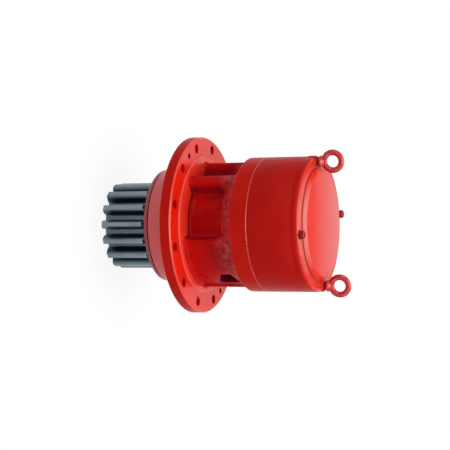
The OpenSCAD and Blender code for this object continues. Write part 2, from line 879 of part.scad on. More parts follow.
// Round nut with four spanner slots
module bearing_lock_nut() {
    slot_w = 10;
    color(dark_steel)
        difference() {
            tube(nut_r, upper_bore_d / 2 + seat_gap, z_upper_1, z_nut_top);
            around(4, nut_r)
                translate([0, 0, z_upper_1 + nut_h / 2])
                    cube([10, slot_w, nut_h + 2 * cutter], center = true);
        }
}

module output_carrier() {
    hub_r = shaft_spline_r + 20;
    web_inner_r = 0.75 * output_centre_r;
    planet_room_r = output_tip_r + 2.3;
    color(bright_steel)
        difference() {
            union() {
                disc(carrier_r, z_plate_0, z_plate_1);
                disc(hub_r, z_hub, z_plate_0 + cutter);
                disc(carrier_r, z_bridge_0, z_bridge_1);
                translate([0, 0, z_plate_1 - cutter])
                    linear_extrude(height = z_bridge_0 - z_plate_1 + 2 * cutter)
                        difference() {
                            circle(r = carrier_r);
                            circle(r = web_inner_r);
                            for (k = [0:output_planet_count - 1])
                                translate(polar(output_centre_r, k * 360 / output_planet_count))
                                    circle(r = planet_room_r);
                        }
            }
            prism(spline_hole(shaft_spline_r - spline_depth, shaft_spline_r, spline_teeth, spline_gap),
                  z_hub - cutter, z_plate_1 + cutter);
            disc(shaft_spline_r + 6, retaining_z, z_plate_1 + cutter);
            disc(output_tip_r + 3, z_bridge_0 - cutter, z_bridge_1 + cutter);
            around(output_planet_count, output_centre_r) {
                disc(output_pin_d / 2 + seat_gap, z_plate_0 + 2, z_plate_1 + cutter);
                disc(output_pin_d / 2 + seat_gap, z_bridge_0 - cutter, z_bridge_1 + cutter);
            }
        }
}

module carrier_retaining_ring() {
    color(dark_steel)
        difference() {
            tube(shaft_spline_r + 3, groove_r + seat_gap, retaining_z + 1.1, retaining_z + 3.9);
            translate([shaft_spline_r, 0, retaining_z + 2.5])
                cube([24, 12, 6], center = true);
        }
}

module output_planet_pins() {
    color(bearing_steel)
        around(output_planet_count, output_centre_r)
            disc(output_pin_d / 2, z_plate_0 + 2, z_bridge_1 - 1);
}

module output_planet_washers() {
    color(bronze)
        around(output_planet_count, output_centre_r) {
            tube(output_pin_d / 2 + 12, output_pin_d / 2 + 0.2, z_plate_1, z_plate_1 + washer_t);
            tube(output_pin_d / 2 + 12, output_pin_d / 2 + 0.2, z_bridge_0 - washer_t, z_bridge_0);
        }
}

// Planet gear at place k of a stage, turned so that its teeth mesh with the ring gear
module planet(k, count, centre_r, teeth, z0, z1, bore_r) {
    place = k * 360 / count;
    translate([centre_r * cos(place), centre_r * sin(place), 0])
        rotate([0, 0, place * (1 - ring_teeth / teeth)])
            difference() {
                prism(gear_outline(gear_module, teeth, addendum, dedendum, backlash / 2, 0, 3), z0, z1);
                disc(bore_r, z0 - cutter, z1 + cutter);
            }
}

module planet_bush(k, count, centre_r, pin_r, z0, z1) {
    rotate([0, 0, k * 360 / count])
        translate([centre_r, 0, 0])
            tube(pin_r + running_gap + bush_wall, pin_r + running_gap, z0, z1);
}

module output_planet(k) {
    color(bearing_steel)
        planet(k, output_planet_count, output_centre_r, output_planet_teeth, z_output_0, z_output_1,
               output_pin_d / 2 + running_gap + bush_wall + seat_gap);
}

module output_bush(k) {
    color(bronze)
        planet_bush(k, output_planet_count, output_centre_r, output_pin_d / 2, z_output_0, z_output_1);
}

module input_planet(k) {
    color(bearing_steel)
        planet(k, input_planet_count, input_centre_r, input_planet_teeth, z_input_0, z_input_1,
               input_pin_d / 2 + running_gap + bush_wall + seat_gap);
}

module input_bush(k) {
    color(bronze)
        planet_bush(k, input_planet_count, input_centre_r, input_pin_d / 2, z_input_0, z_input_1);
}

// Ring gear: its tooth spaces are the outline of a gear of the same tooth count
module ring_gear() {
    groove_r0 = ring_root_r + 1.8;
    groove_r1 = ring_root_r + 4.5;
    color(red_paint)
        difference() {
            rotate_extrude()
                polygon([
                    [0, z_ring_0], [drum_r - seam_chamfer, z_ring_0], [drum_r, z_ring_0 + seam_chamfer],
                    [drum_r, z_ring_1 - seam_chamfer], [drum_r - seam_chamfer, z_ring_1], [0, z_ring_1]
                ]);
            prism(gear_outline(gear_module, ring_teeth, dedendum, addendum, -backlash / 2, 0, 2),
                  z_ring_0 - cutter, z_ring_1 + cutter);
            tube(groove_r1, groove_r0, z_ring_0 - cutter, z_ring_0 + 2.2);
            tube(groove_r1, groove_r0, z_ring_1 - 2.2, z_ring_1 + cutter);
            around(2, bolt_circle_r, lift_angle + 90)
                disc(clearance_r, z_ring_0 - cutter, z_ring_1 + cutter);
            around(2, bolt_circle_r, lift_angle + 45) {
                disc(dowel_d / 2 + seat_gap, z_ring_0 - cutter, z_ring_0 + 9);
                disc(dowel_d / 2 + seat_gap, z_ring_1 - 8, z_ring_1 + cutter);
            }
        }
}

module ring_gear_o_rings() {
    color(black_rubber) {
        cord_ring(ring_root_r + 3.15, z_ring_0 + 1.1, 1.05);
        cord_ring(ring_root_r + 3.15, z_ring_1 - 1.1, 1.05);
    }
}

module dowel_pins() {
    color(bearing_steel)
        around(2, bolt_circle_r, lift_angle + 45) {
            disc(dowel_d / 2, z_ring_0 - 8, z_ring_0 + 8);
            disc(dowel_d / 2, z_ring_1 - 8, z_ring_1 + 8);
        }
}

// Input stage

module input_carrier() {
    plate_r = input_centre_r + input_pin_d / 2 + 12;
    color(bright_steel)
        difference() {
            disc(plate_r, z_input_plate_0, z_input_plate_1);
            prism(spline_hole(sun_spline_r - spline_depth, sun_spline_r, spline_teeth, spline_gap),
                  z_input_plate_0 - cutter, z_input_plate_1 + cutter);
            around(input_planet_count, input_centre_r)
                disc(input_pin_d / 2 + seat_gap, z_input_plate_0 + 2, z_input_plate_1 + cutter);
            around(input_planet_count, input_centre_r, 180 / input_planet_count)
                disc(16, z_input_plate_0 - cutter, z_input_plate_1 + cutter);
        }
}

module output_sun_gear() {
    color(bearing_steel)
        difference() {
            union() {
                prism(gear_outline(gear_module, output_sun_teeth, addendum, dedendum, backlash / 2, 0, 3),
                      z_output_0 + 1, z_output_1);
                disc(sun_spline_r - spline_depth - 0.5, z_output_1 - cutter, z_input_plate_1 + 0.5);
                prism(spline_outline(sun_spline_r - spline_depth, sun_spline_r, spline_teeth),
                      z_output_1 - cutter, z_input_plate_1);
            }
            disc(12, z_output_0, z_input_plate_1 + cutter);
        }
}

module input_planet_pins() {
    pin_r = input_pin_d / 2;
    z_groove = z_input_washer_1;
    color(bearing_steel)
        around(input_planet_count, input_centre_r)
            rotate_extrude()
                polygon([
                    [0, z_input_plate_0 + 2], [pin_r, z_input_plate_0 + 2], [pin_r, z_groove],
                    [pin_r - 1.5, z_groove], [pin_r - 1.5, z_groove + 1.6], [pin_r, z_groove + 1.6],
                    [pin_r, z_groove + 2.4], [pin_r - 1, z_groove + 3], [0, z_groove + 3]
                ]);
}

module input_planet_washers() {
    pin_r = input_pin_d / 2;
    color(bronze)
        around(input_planet_count, input_centre_r) {
            tube(pin_r + 9, pin_r + 0.2, z_input_plate_1, z_input_plate_1 + washer_t);
            tube(pin_r + 9, pin_r + 0.2, z_input_washer_1 - washer_t, z_input_washer_1);
        }
}

module input_pin_retaining_rings() {
    pin_r = input_pin_d / 2;
    color(dark_steel)
        around(input_planet_count, input_centre_r)
            difference() {
                tube(pin_r + 3, pin_r - 1.5 + seat_gap, z_input_washer_1 + 0.05, z_input_washer_1 + 1.5);
                translate([pin_r, 0, z_input_washer_1])
                    cube([12, 5, 6], center = true);
            }
}

module input_sun_shaft() {
    hub_r = gear_module * input_sun_teeth / 2 - dedendum;
    z_hub_top = z_top - cover_plug_h - 3;
    color(bearing_steel)
        difference() {
            union() {
                rotate([0, 0, 180 / input_sun_teeth])
                    prism(gear_outline(gear_module, input_sun_teeth, addendum, dedendum, backlash / 2, 0, 3),
                          z_input_0, z_input_1 + 1);
                disc(hub_r - 0.5, z_input_1, z_hub_top);
            }
            prism(spline_hole(input_spline_r - 2, input_spline_r, 16, 0), z_input_0 + 6, z_hub_top + cutter);
        }
}

// Motor end

module motor_flange() {
    recess_h = 7;
    recess_r = input_centre_r + gear_module * input_planet_teeth / 2 + addendum - 8;
    bore_r = motor_bore_d / 2;
    spot_r = screw_head_d / 2 + 2;
    ear_edge = 1.5;
    cover_gap = 0.5;
    o_ring_room = 4;
    color(red_paint)
        difference() {
            union() {
                rotate_extrude()
                    polygon(concat(
                        [[0, z_ring_1], [drum_r - seam_chamfer, z_ring_1], [drum_r, z_ring_1 + seam_chamfer]],
                        arc([drum_r - shoulder_r, z_top - shoulder_r], shoulder_r, 0, 90, 8),
                        [[0, z_top]]
                    ));
                around(2, bolt_circle_r, lift_angle)
                    rotate_extrude()
                        polygon([
                            [0, z_ring_1 + 1], [ear_d / 2, z_ring_1 + 1], [ear_d / 2, z_ear - ear_edge],
                            [ear_d / 2 - ear_edge, z_ear], [0, z_ear]
                        ]);
            }
            disc(bore_r, z_ring_1 - cutter, z_top + cutter);
            disc(cover_r + cover_gap, z_top, z_ear + cutter);
            disc(recess_r, z_ring_1 - cutter, z_ring_1 + recess_h);
            translate([0, 0, z_top - o_ring_room])
                cylinder(r1 = bore_r, r2 = bore_r + o_ring_room + cutter, h = o_ring_room + cutter);
            around(4, motor_pcd / 2, 45)
                disc(motor_thread_d / 2, z_top - 10, z_top + cutter);
            around(2, bolt_circle_r, lift_angle + 90) {
                disc(clearance_r, z_ring_1 - cutter, z_top + cutter);
                disc(spot_r, z_top - 2, z_top + cutter);
            }
            around(2, bolt_circle_r, lift_angle + 45)
                disc(dowel_d / 2 + seat_gap, z_ring_1 - cutter, z_ring_1 + 9);
            around(2, bolt_circle_r, lift_angle)
                disc(thread_r + seat_gap, z_ring_1 + 2, z_ear + cutter);
        }
}

// Cap screws that run through the motor flange and the ring gear into the cup
module drum_cap_screws() {
    seat = z_top - 2;
    edge = 1;
    color(red_paint)
        around(2, bolt_circle_r, lift_angle + 90)
            difference() {
                union() {
                    rotate_extrude()
                        polygon([
                            [0, seat], [screw_head_d / 2, seat], [screw_head_d / 2, seat + screw_head_h - edge],
                            [screw_head_d / 2 - edge, seat + screw_head_h], [0, seat + screw_head_h]
                        ]);
                    disc(thread_r, z_ring_0 - cap_screw_reach, seat + cutter);
                }
                translate([0, 0, seat + screw_head_h / 2])
                    cylinder(d = 0.64 * screw_head_d, h = screw_head_h, $fn = 6);
            }
}

// Lifting eye: bar bent to a ring, on a collar and a threaded shank
module eye_bolts() {
    z_collar = z_ear + jam_nut_h;
    ring_r = (eye_inner_d + eye_bar_d) / 2;
    color(red_paint)
        around(2, bolt_circle_r, lift_angle)
            union() {
                translate([0, 0, z_eye])
                    rotate([90, 0, 0])
                        rotate_extrude()
                            translate([ring_r, 0])
                                circle(d = eye_bar_d, $fn = 48);
                rotate_extrude()
                    polygon([
                        [0, z_ring_1 + 4], [thread_r - 1, z_ring_1 + 4], [thread_r, z_ring_1 + 5],
                        [thread_r, z_collar], [eye_collar_d / 2, z_collar],
                        [eye_collar_d / 2, z_collar + 0.4 * eye_collar_h],
                        [eye_bar_d / 2 + 2, z_collar + eye_collar_h], [0, z_collar + eye_collar_h]
                    ]);
            }
}

module eye_bolt_jam_nuts() {
    color(red_paint)
        around(2, bolt_circle_r, lift_angle)
            difference() {
                translate([0, 0, z_ear])
                    cylinder(d = jam_nut_af / cos(30), h = jam_nut_h, $fn = 6);
                disc(thread_r + seat_gap, z_ear - cutter, z_ear + jam_nut_h + cutter);
            }
}

// Shipping cover over the motor bore, with a plug that carries a seal ring
module input_cover() {
    face_r = cover_r - cover_bevel;
    hollow_r = motor_bore_d / 2 - 10;
    color(red_paint)
        difference() {
            union() {
                rotate_extrude()
                    polygon([
                        [0, z_top], [cover_r - 0.6, z_top], [cover_r, z_top + 0.6],
                        [cover_r, z_top + 0.2 * cover_h],
                        [cover_r - 1.2, z_top + 0.42 * cover_h], [face_r + 3.5, z_top + 0.87 * cover_h],
                        [face_r, z_top + cover_h], [0, z_top + cover_h]
                    ]);
                disc(motor_bore_d / 2 - 0.2, z_top - cover_plug_h, z_top + cutter);
            }
            disc(hollow_r, z_top - cover_plug_h - cutter, z_top + cover_h / 3);
        }
}

module input_cover_o_ring() {
    color(black_rubber)
        cord_ring(motor_bore_d / 2 + 1.1, z_top - 1.15, 1);
}

// Repeated gears by place
module output_planet_1() { output_planet(0); }
module output_planet_2() { output_planet(1); }
module output_planet_3() { output_planet(2); }
module output_planet_4() { output_planet(3); }
module output_planet_bush_1() { output_bush(0); }
module output_planet_bush_2() { output_bush(1); }
module output_planet_bush_3() { output_bush(2); }
module output_planet_bush_4() { output_bush(3); }
module input_planet_1() { input_planet(0); }
module input_planet_2() { input_planet(1); }
module input_planet_3() { input_planet(2); }
module input_planet_bush_1() { input_bush(0); }
module input_planet_bush_2() { input_bush(1); }
module input_planet_bush_3() { input_bush(2); }

housing();
seal_cover();
seal_cover_screws();
seal_cover_o_ring();
oil_seal();
lower_bearing_outer_ring();
upper_bearing_outer_ring();
drain_plug();
ring_gear();
ring_gear_o_rings();
motor_flange();
dowel_pins();
drum_cap_screws();
eye_bolts();
eye_bolt_jam_nuts();
input_cover();
input_cover_o_ring();
pinion_shaft();
lower_bearing_inner_ring();
upper_bearing_inner_ring();
bearing_spacer();
bearing_lock_nut();
output_carrier();
carrier_retaining_ring();
output_planet_pins();
output_planet_washers();
lower_bearing_rollers();
lower_bearing_cage();
upper_bearing_rollers();
upper_bearing_cage();
output_planet_1();
output_planet_2();
output_planet_3();
output_planet_4();
output_planet_bush_1();
output_planet_bush_2();
output_planet_bush_3();
output_planet_bush_4();
input_carrier();
output_sun_gear();
input_planet_pins();
input_planet_washers();
input_pin_retaining_rings();
input_planet_1();
input_planet_2();
input_planet_3();
input_planet_bush_1();
input_planet_bush_2();
input_planet_bush_3();
input_sun_shaft();
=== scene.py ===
"""Excavator swing gearbox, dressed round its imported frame.

The shaft axis is Z, the pinion points down and the origin lies in the flange's mounting face. Blender's own
values are in metres, and the fields of the sub-assemblies in millimetres and degrees.
"""

import json
import logging
import math
from collections.abc import Callable, Iterable
from dataclasses import dataclass, field
from enum import Enum, IntEnum
from functools import cached_property, reduce

import bmesh
import bpy
from bmesh.types import BMEdge, BMVert
from bpy.types import ID, Material, MeshPolygon, Node, NodeSocket, Object, World
from mathutils import Matrix, Vector

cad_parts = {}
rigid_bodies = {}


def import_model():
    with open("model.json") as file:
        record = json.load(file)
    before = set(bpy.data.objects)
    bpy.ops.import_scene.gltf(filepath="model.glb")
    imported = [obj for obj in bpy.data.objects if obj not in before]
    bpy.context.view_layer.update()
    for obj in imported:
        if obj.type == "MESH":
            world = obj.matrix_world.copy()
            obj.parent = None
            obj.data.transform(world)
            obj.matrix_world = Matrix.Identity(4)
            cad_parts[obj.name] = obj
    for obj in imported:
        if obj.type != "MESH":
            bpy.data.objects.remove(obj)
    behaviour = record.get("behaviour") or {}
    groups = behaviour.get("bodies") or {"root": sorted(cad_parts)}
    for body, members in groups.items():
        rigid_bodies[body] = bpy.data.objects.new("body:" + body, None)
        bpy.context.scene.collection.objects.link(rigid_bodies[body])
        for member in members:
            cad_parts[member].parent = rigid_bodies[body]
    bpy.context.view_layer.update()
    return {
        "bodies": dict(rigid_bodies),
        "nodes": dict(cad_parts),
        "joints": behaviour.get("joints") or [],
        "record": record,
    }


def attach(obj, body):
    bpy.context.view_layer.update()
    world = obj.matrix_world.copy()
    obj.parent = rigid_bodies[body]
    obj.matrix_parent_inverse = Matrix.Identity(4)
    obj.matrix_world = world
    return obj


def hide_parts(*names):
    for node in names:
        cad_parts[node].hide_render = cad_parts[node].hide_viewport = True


log = logging.getLogger("swing_gearbox")

Colour = tuple[float, float, float, float]
Point = tuple[float, float, float]
# Two lengths in millimetres: where a share is 0 and where it is 1
Limits = tuple[float, float]

MM_IN_M = 1000.0
ORIGIN = Vector((0.0, 0.0, 0.0))
WHITE: Colour = (1.0, 1.0, 1.0, 1.0)
# The colour inputs of Blender's mix node, which share their names with three other pairs
MIX_UNDER, MIX_OVER = 6, 7
# Corners closer than this are one, and faces flatter than this are one
WELD_MM = 0.002
FLAT_DEG = 0.6


def mm(value: float) -> float:
    """Returns a length in millimetres as metres."""
    return value / MM_IN_M


def linear(hex_colour: str) -> Colour:
    """Turns an sRGB hex colour to linear light.

    Args:
        hex_colour: Six hex digits after a hash sign.

    Returns:
        Red, green, blue and an alpha of 1.
    """
    channels = (int(hex_colour[i:i + 2], 16) / 255.0 for i in (1, 3, 5))
    r, g, b = (c / 12.92 if c <= 0.04045 else ((c + 0.055) / 1.055) ** 2.4 for c in channels)
    return (r, g, b, 1.0)


# Finishes


@dataclass(frozen=True)
class Patches:
    """Soft patches, by their size and by the noise that gives none of them and all of them."""

    size_mm: float
    none: float
    full: float
    detail: float = 2.0
    rough: float = 0.5


@dataclass(frozen=True)
class Grain:
    """An uneven relief."""

    size_mm: float
    depth_mm: float
    detail: float = 2.0
    rough: float = 0.5


# A relief, or the node with its height beside its depth in millimetres
Layer = Grain | tuple[Node, float]


class ShaderWork:
    """The nodes of a material or of the world while they are put together."""

    def __init__(self, owner: Material | World) -> None:
        """Starts an empty tree.

        Args:
            owner: The new material or world.
        """
        self.owner = owner
        owner.use_nodes = True
        self.tree = owner.node_tree
        self.tree.nodes.clear()

    def add(self, kind: str, inputs: dict | None = None, **settings: object) -> Node:
        """Adds a node.

        Args:
            kind: Blender's name of the node type.
            inputs: By input name or number, a constant, a socket, or a node for its first output in use.
            settings: Attributes of the node itself.

        Returns:
            The new node.
        """
        node = self.tree.nodes.new(kind)
        for name, value in settings.items():
            setattr(node, name, value)
        for key, value in (inputs or {}).items():
            if isinstance(value, Node):
                value = next(socket for socket in value.outputs if socket.enabled)
            if isinstance(value, NodeSocket):
                self.tree.links.new(value, node.inputs[key])
            else:
                node.inputs[key].default_value = value
        return node

    @cached_property
    def at(self) -> NodeSocket:
        """Returns the place on the object, which every pattern starts from."""
        return self.add("ShaderNodeTexCoord").outputs["Object"]

    def from_axis(self) -> tuple[NodeSocket, NodeSocket]:
        """Returns the distance from the shaft axis and the level along it, in metres."""
        x, y, z = self.add("ShaderNodeSeparateXYZ", {"Vector": self.at}).outputs
        flat = self.add("ShaderNodeCombineXYZ", {"X": x, "Y": y})
        return self.add("ShaderNodeVectorMath", {0: flat}, operation="LENGTH").outputs["Value"], z

    def within(self, *limits: tuple[NodeSocket, Limits], also: Iterable[Node | float] = ()) -> Node:
        """Tells how far a place lies inside some limits.

        Args:
            limits: Lengths in metres, each with its limits.
            also: Further shares.

        Returns:
            The node with the product of all the shares.
        """
        ramps = [self.add("ShaderNodeMapRange", {
            "Value": length, "From Min": mm(none), "From Max": mm(full)}) for length, (none, full) in limits]
        return reduce(lambda one, two: self.add("ShaderNodeMath", {0: one, 1: two}, operation="MULTIPLY"),
                      [*ramps, *also])

    def patches(self, spec: Patches, least: float = 0.0, most: float = 1.0) -> Node:
        """Spreads soft patches.

        Args:
            spec: Their size and spread.
            least: What is between the patches.
            most: What is in their middle.

        Returns:
            The node with the amount.
        """
        noise = self.add("ShaderNodeTexNoise", {"Vector": self.at, "Scale": 1.0 / mm(spec.size_mm),
                                                "Detail": spec.detail, "Roughness": spec.rough})
        return self.add("ShaderNodeMapRange", {"Value": noise, "From Min": spec.none, "From Max": spec.full,
                                               "To Min": least, "To Max": most})

    def coats(self, ground: Node | Colour, *coats: tuple[Node, str]) -> Node:
        """Lays colours over one another.

        Args:
            ground: The colour underneath.
            coats: The cover of each coat, from 0 to 1, and its colour, the lowest first.

        Returns:
            The node with the colour.
        """
        for cover, colour in coats:
            ground = self.add("ShaderNodeMix", {
                "Factor": cover, MIX_UNDER: ground, MIX_OVER: linear(colour)}, data_type="RGBA")
        return ground

    def bumps(self, *layers: Layer) -> Node:
        """Lays reliefs over one another.

        Args:
            layers: The reliefs, the lowest first.

        Returns:
            The node with the normal.
        """
        below: dict = {}
        for layer in layers:
            if isinstance(layer, Grain):
                height, depth_mm = self.add("ShaderNodeTexNoise", {
                    "Vector": self.at, "Scale": 1.0 / mm(layer.size_mm), "Detail": layer.detail,
                    "Roughness": layer.rough}), layer.depth_mm
            else:
                height, depth_mm = layer
            bump = self.add("ShaderNodeBump", {"Height": height, "Distance": mm(depth_mm)} | below)
            below = {"Normal": bump}
        return bump

    def feed_lines(self, pitch_mm: float) -> Node:
        """Draws a lathe tool's feed lines, which ring the shaft axis on faces and on round sides alike.

        Args:
            pitch_mm: Feed of the tool from line to line.

        Returns:
            The node with the height of the lines, from 0 to 1.
        """
        radius, level = self.from_axis()
        way = self.add("ShaderNodeMath", {0: radius, 1: level}, operation="ADD")
        turns = self.add("ShaderNodeMath", {0: way, 1: 2.0 * math.pi / mm(pitch_mm)}, operation="MULTIPLY")
        wave = self.add("ShaderNodeMath", {0: turns}, operation="SINE")
        return self.add("ShaderNodeMapRange", {"Value": wave, "From Min": -1.0})

    def seen(self) -> Node:
        """Tells what the camera sees, at once, mirrored or through glass, from what only throws light."""
        path = self.add("ShaderNodeLightPath").outputs
        rays = (path[f"Is {kind} Ray"] for kind in ("Camera", "Glossy", "Transmission"))
        return reduce(lambda one, two: self.add("ShaderNodeMath", {0: one, 1: two}, operation="MAXIMUM"),
                      rays)

    def finish(self, shader: Node) -> Material:
        """Wires a shader to the output and returns the material."""
        self.add("ShaderNodeOutputMaterial", {"Surface": shader})
        return self.owner

    def surface(self, colour: Node, roughness: Node | float, normal: Node, **more: float) -> Material:
        """Finishes an opaque surface.

        Args:
            colour: Its colour.
            roughness: Its roughness.
            normal: Its relief.
            more: Further inputs of Blender's principled shader.

        Returns:
            The material.
        """
        return self.finish(self.add("ShaderNodeBsdfPrincipled", {
            "Base Color": colour, "Roughness": roughness, "Normal": normal} | more))


@dataclass(frozen=True)
class Enamel:
    """Air-dried alkyd enamel, sprayed wet on turned steel.

    To the eye it is a smooth red film with soft reflections: slow drifts from orange to deeper red where the
    film is thicker, gloss that is duller in patches, orange peel, and the last feed lines under it.
    """

    name: str
    colour: str
    deep: str
    roughness: float
    ior: float
    film: Patches = Patches(70.0, 0.3, 0.62, 3.0)
    dull: Patches = Patches(34.0, 0.3, 0.7, 4.0, 0.6)
    # Real orange peel is 1 to 2 mm across and feed lines 0.3 mm apart: both are too fine for the picture and
    # drawn coarser.
    peel: Grain = Grain(7.0, 0.03, 1.0)
    feed_mm: float = 6.5
    feed_depth_mm: float = 0.004

    def build(self) -> Material:
        """Returns the material."""
        work = ShaderWork(bpy.data.materials.new(self.name))
        gloss = work.patches(self.dull, self.roughness - 0.05, self.roughness + 0.07)
        return work.surface(self.tint(work), gloss, work.bumps(*self.relief(work)), IOR=self.ior)

    def tint(self, work: ShaderWork) -> Node:
        """Returns the film's colour, deeper where it is thick."""
        return work.coats(linear(self.deep), (work.patches(self.film), self.colour))

    def relief(self, work: ShaderWork) -> list[Layer]:
        """Returns the orange peel and the feed lines."""
        return [self.peel, (work.feed_lines(self.feed_mm), self.feed_depth_mm)]


@dataclass(frozen=True)
class PaintedSheenEnamel(Enamel):
    """The enamel with a painted reflection laid into its colour.

    To the eye it is a full orange-red on one side, and a paler and pinker painted reflection grows along Y
    towards the other.
    """

    # The colour of the painted reflection, and where along Y it is none and where it is full
    painted_sheen: str = "#c86864"
    painted_sheen_mm: Limits = (-74.0, 119.0)

    def tint(self, work: ShaderWork) -> Node:
        """Returns the film's colour, with the painted reflection that grows along Y."""
        along = work.add("ShaderNodeSeparateXYZ", {"Vector": work.at}).outputs["Y"]
        return work.coats(super().tint(work), (work.within((along, self.painted_sheen_mm)), self.painted_sheen))


@dataclass(frozen=True)
class CastEnamel(Enamel):
    """The same enamel on iron as it left the sand.

    To the eye the sand skin shows through as grain, soft lumps and pits. The deep recesses stay dark
    crimson, and the sides of the ribs in part too, which is painted shade, and under the drum lie rough pale
    patches, a painted reflection broken up like dust.
    """

    # Colour of the painted shade on the ribs' sides and in the deep recesses
    painted_shade_colour: str = "#420322"
    # Pale pink of a painted reflection under the drum, broken up into patches like dust
    pale_sheen_colour: str = "#e88084"
    # Foundry sand is 0.3 mm across: drawn more than ten times as coarse, or it wouldn't show.
    sand: Grain = Grain(4.0, 0.16, 3.0, 0.6)
    dark_sand: Patches = Patches(4.0, 0.44, 0.22, 3.0, 0.6)
    lumps: Grain = Grain(14.0, 0.55)
    pit_mm: float = 7.5
    pit_depth_mm: float = 0.1
    # Where the painted shade of the deep recesses starts and where it is full
    painted_shade_recess_r_mm: Limits = (102.4, 101.2)
    # The ribs' sides carry painted shade: it starts outside the core, and fades towards the ribs' backs and
    # the drum
    rib_painted_shade_from_r_mm: Limits = (105.0, 111.0)
    rib_painted_shade_fade_r_mm: Limits = (135.5, 126.0)
    rib_painted_shade_fade_level_mm: Limits = (114.0, 102.0)
    rib_painted_shade_amount: float = 0.5
    # Where the pale patches of painted reflection lie, by level, and how strong they are
    pale_sheen_patches: Patches = Patches(11.0, 0.36, 0.66, 4.0, 0.7)
    pale_sheen_level_mm: Limits = (96.0, 138.0)
    pale_sheen_share: float = 0.7

    def tint(self, work: ShaderWork) -> Node:
        """Returns the film's colour, with dark grain, pale patches of painted reflection under the drum, and
        painted shade on the rib sides and in the deep recesses.
        """
        radius, level = work.from_axis()
        sand = work.patches(self.dark_sand)
        pale_sheen_patches = work.within((level, self.pale_sheen_level_mm), also=[work.patches(self.pale_sheen_patches, most=self.pale_sheen_share)])
        painted_shade_on_rib_sides = work.within((radius, self.rib_painted_shade_from_r_mm), (radius, self.rib_painted_shade_fade_r_mm),
                                (level, self.rib_painted_shade_fade_level_mm), also=[self.rib_painted_shade_amount])
        painted_shade_in_recesses = work.within((radius, self.painted_shade_recess_r_mm))
        return work.coats(super().tint(work), (sand, self.deep), (pale_sheen_patches, self.pale_sheen_colour),
                          (painted_shade_on_rib_sides, self.painted_shade_colour), (painted_shade_in_recesses, self.painted_shade_colour))

    def relief(self, work: ShaderWork) -> list[Layer]:
        """Returns the sand grain, the lumps and the pits."""
        holes = work.add("ShaderNodeTexVoronoi", {"Vector": work.at, "Scale": 1.0 / mm(self.pit_mm)})
        pits = work.add("ShaderNodeMapRange", {"Value": holes, "From Min": 0.02, "From Max": 0.16})
        return [self.sand, self.lumps, (pits, self.pit_depth_mm)]


class Cut(Enum):
    """How the last cut was made on a steel or bronze surface."""

    TURNED = "turned"
    GROUND = "ground"
    BLACKENED = "blackened"


@dataclass(frozen=True)
class BareMetal:
    """Bare or blackened metal under a thin film of oil.

    To the eye it is a cloudy metallic sheen with the marks of its last cut: rings from the lathe, a fine
    directionless grain from the grinder, or a soft matt black where it was oxidised.
    """

    name: str
    colour: str
    stain: str
    roughness: float
    cut: Cut
    metallic: float = 1.0
    oil: Patches = Patches(26.0, 0.32, 0.66, 4.0, 0.6)
    smears: Patches = Patches(11.0, 0.3, 0.7, 4.0)
    # Turning marks are 0.1 to 0.3 mm apart and grinding marks finer still: drawn coarser to show.
    turning_mm: float = 0.8
    turning_depth_mm: float = 0.006
    grinding: Grain = Grain(0.6, 0.006)
    oxide: Grain = Grain(1.2, 0.02, 3.0)

    def build(self) -> Material:
        """Returns the material."""
        work = ShaderWork(bpy.data.materials.new(self.name))
        colour = work.coats(linear(self.stain), (work.patches(self.oil), self.colour))
        gloss = work.patches(self.smears, self.roughness - 0.06, self.roughness + 0.08)
        return work.surface(colour, gloss, work.bumps(self.marks(work)), Metallic=self.metallic)

    def marks(self, work: ShaderWork) -> Layer:
        """Returns what the last cut left."""
        if self.cut is Cut.TURNED:
            return work.feed_lines(self.turning_mm), self.turning_depth_mm
        return self.grinding if self.cut is Cut.GROUND else self.oxide


@dataclass(frozen=True)
class HobbedSteel:
    """Case-hardened chromium steel of the pinion, hobbed, hardened and wiped with oil.

    To the eye the tooth tips are a greenish grey metal with scratches along the teeth; the roots carry
    painted shade in a duller grey, and the flanks painted shade from grey to blue-black further in.
    """

    name: str = "case_hardened_gear_steel"
    bright: str = "#808d95"
    smoke: str = "#6f7b83"
    # The roots' duller grey and the flanks' blue-black are painted shade
    root: str = "#58686f"
    scale: str = "#26363f"
    roughness: float = 0.36
    metallic: float = 0.9
    wiped: Patches = Patches(45.0, 0.35, 0.65, 3.0)
    root_mm: float = 77.5
    flank_mm: float = 81.0
    relief_mm: float = 91.0
    tip_mm: float = 99.6
    end_mm: float = -195.2
    top_mm: float = -91.0
    # Real scratches are finer than 0.1 mm: drawn 0.9 mm wide.
    scratch_mm: float = 0.9
    scratch_depth_mm: float = 0.03

    def build(self) -> Material:
        """Returns the material."""
        work = ShaderWork(bpy.data.materials.new(self.name))
        radius, level = work.from_axis()
        # Painted shade by radius: a darker grey in the roots, blue-black on the flanks
        inside = work.within((radius, (self.relief_mm, self.flank_mm)))
        off_end = work.add("ShaderNodeMath", {0: level, 1: mm(self.end_mm)}, operation="GREATER_THAN")
        off_top = work.add("ShaderNodeMath", {0: level, 1: mm(self.top_mm)}, operation="LESS_THAN")
        flanks = work.within((radius, (self.root_mm, self.flank_mm)),
                             (radius, (self.tip_mm, self.relief_mm)), also=[off_end, off_top])
        colour = work.coats(linear(self.smoke), (work.patches(self.wiped), self.bright), (inside, self.root),
                            (flanks, self.scale))
        along = work.add("ShaderNodeMapping", {"Vector": work.at, "Scale": (1.0, 1.0, 0.02)})
        scratches = work.add("ShaderNodeTexNoise", {"Vector": along, "Scale": 1.0 / mm(self.scratch_mm),
                                                    "Detail": 3.0, "Roughness": 0.7})
        gloss = work.add("ShaderNodeMapRange", {
            "Value": scratches, "From Min": 0.2, "From Max": 0.8, "To Min": self.roughness - 0.08,
            "To Max": self.roughness + 0.1})
        return work.surface(colour, gloss, work.bumps((scratches, self.scratch_depth_mm)),
                            Metallic=self.metallic)


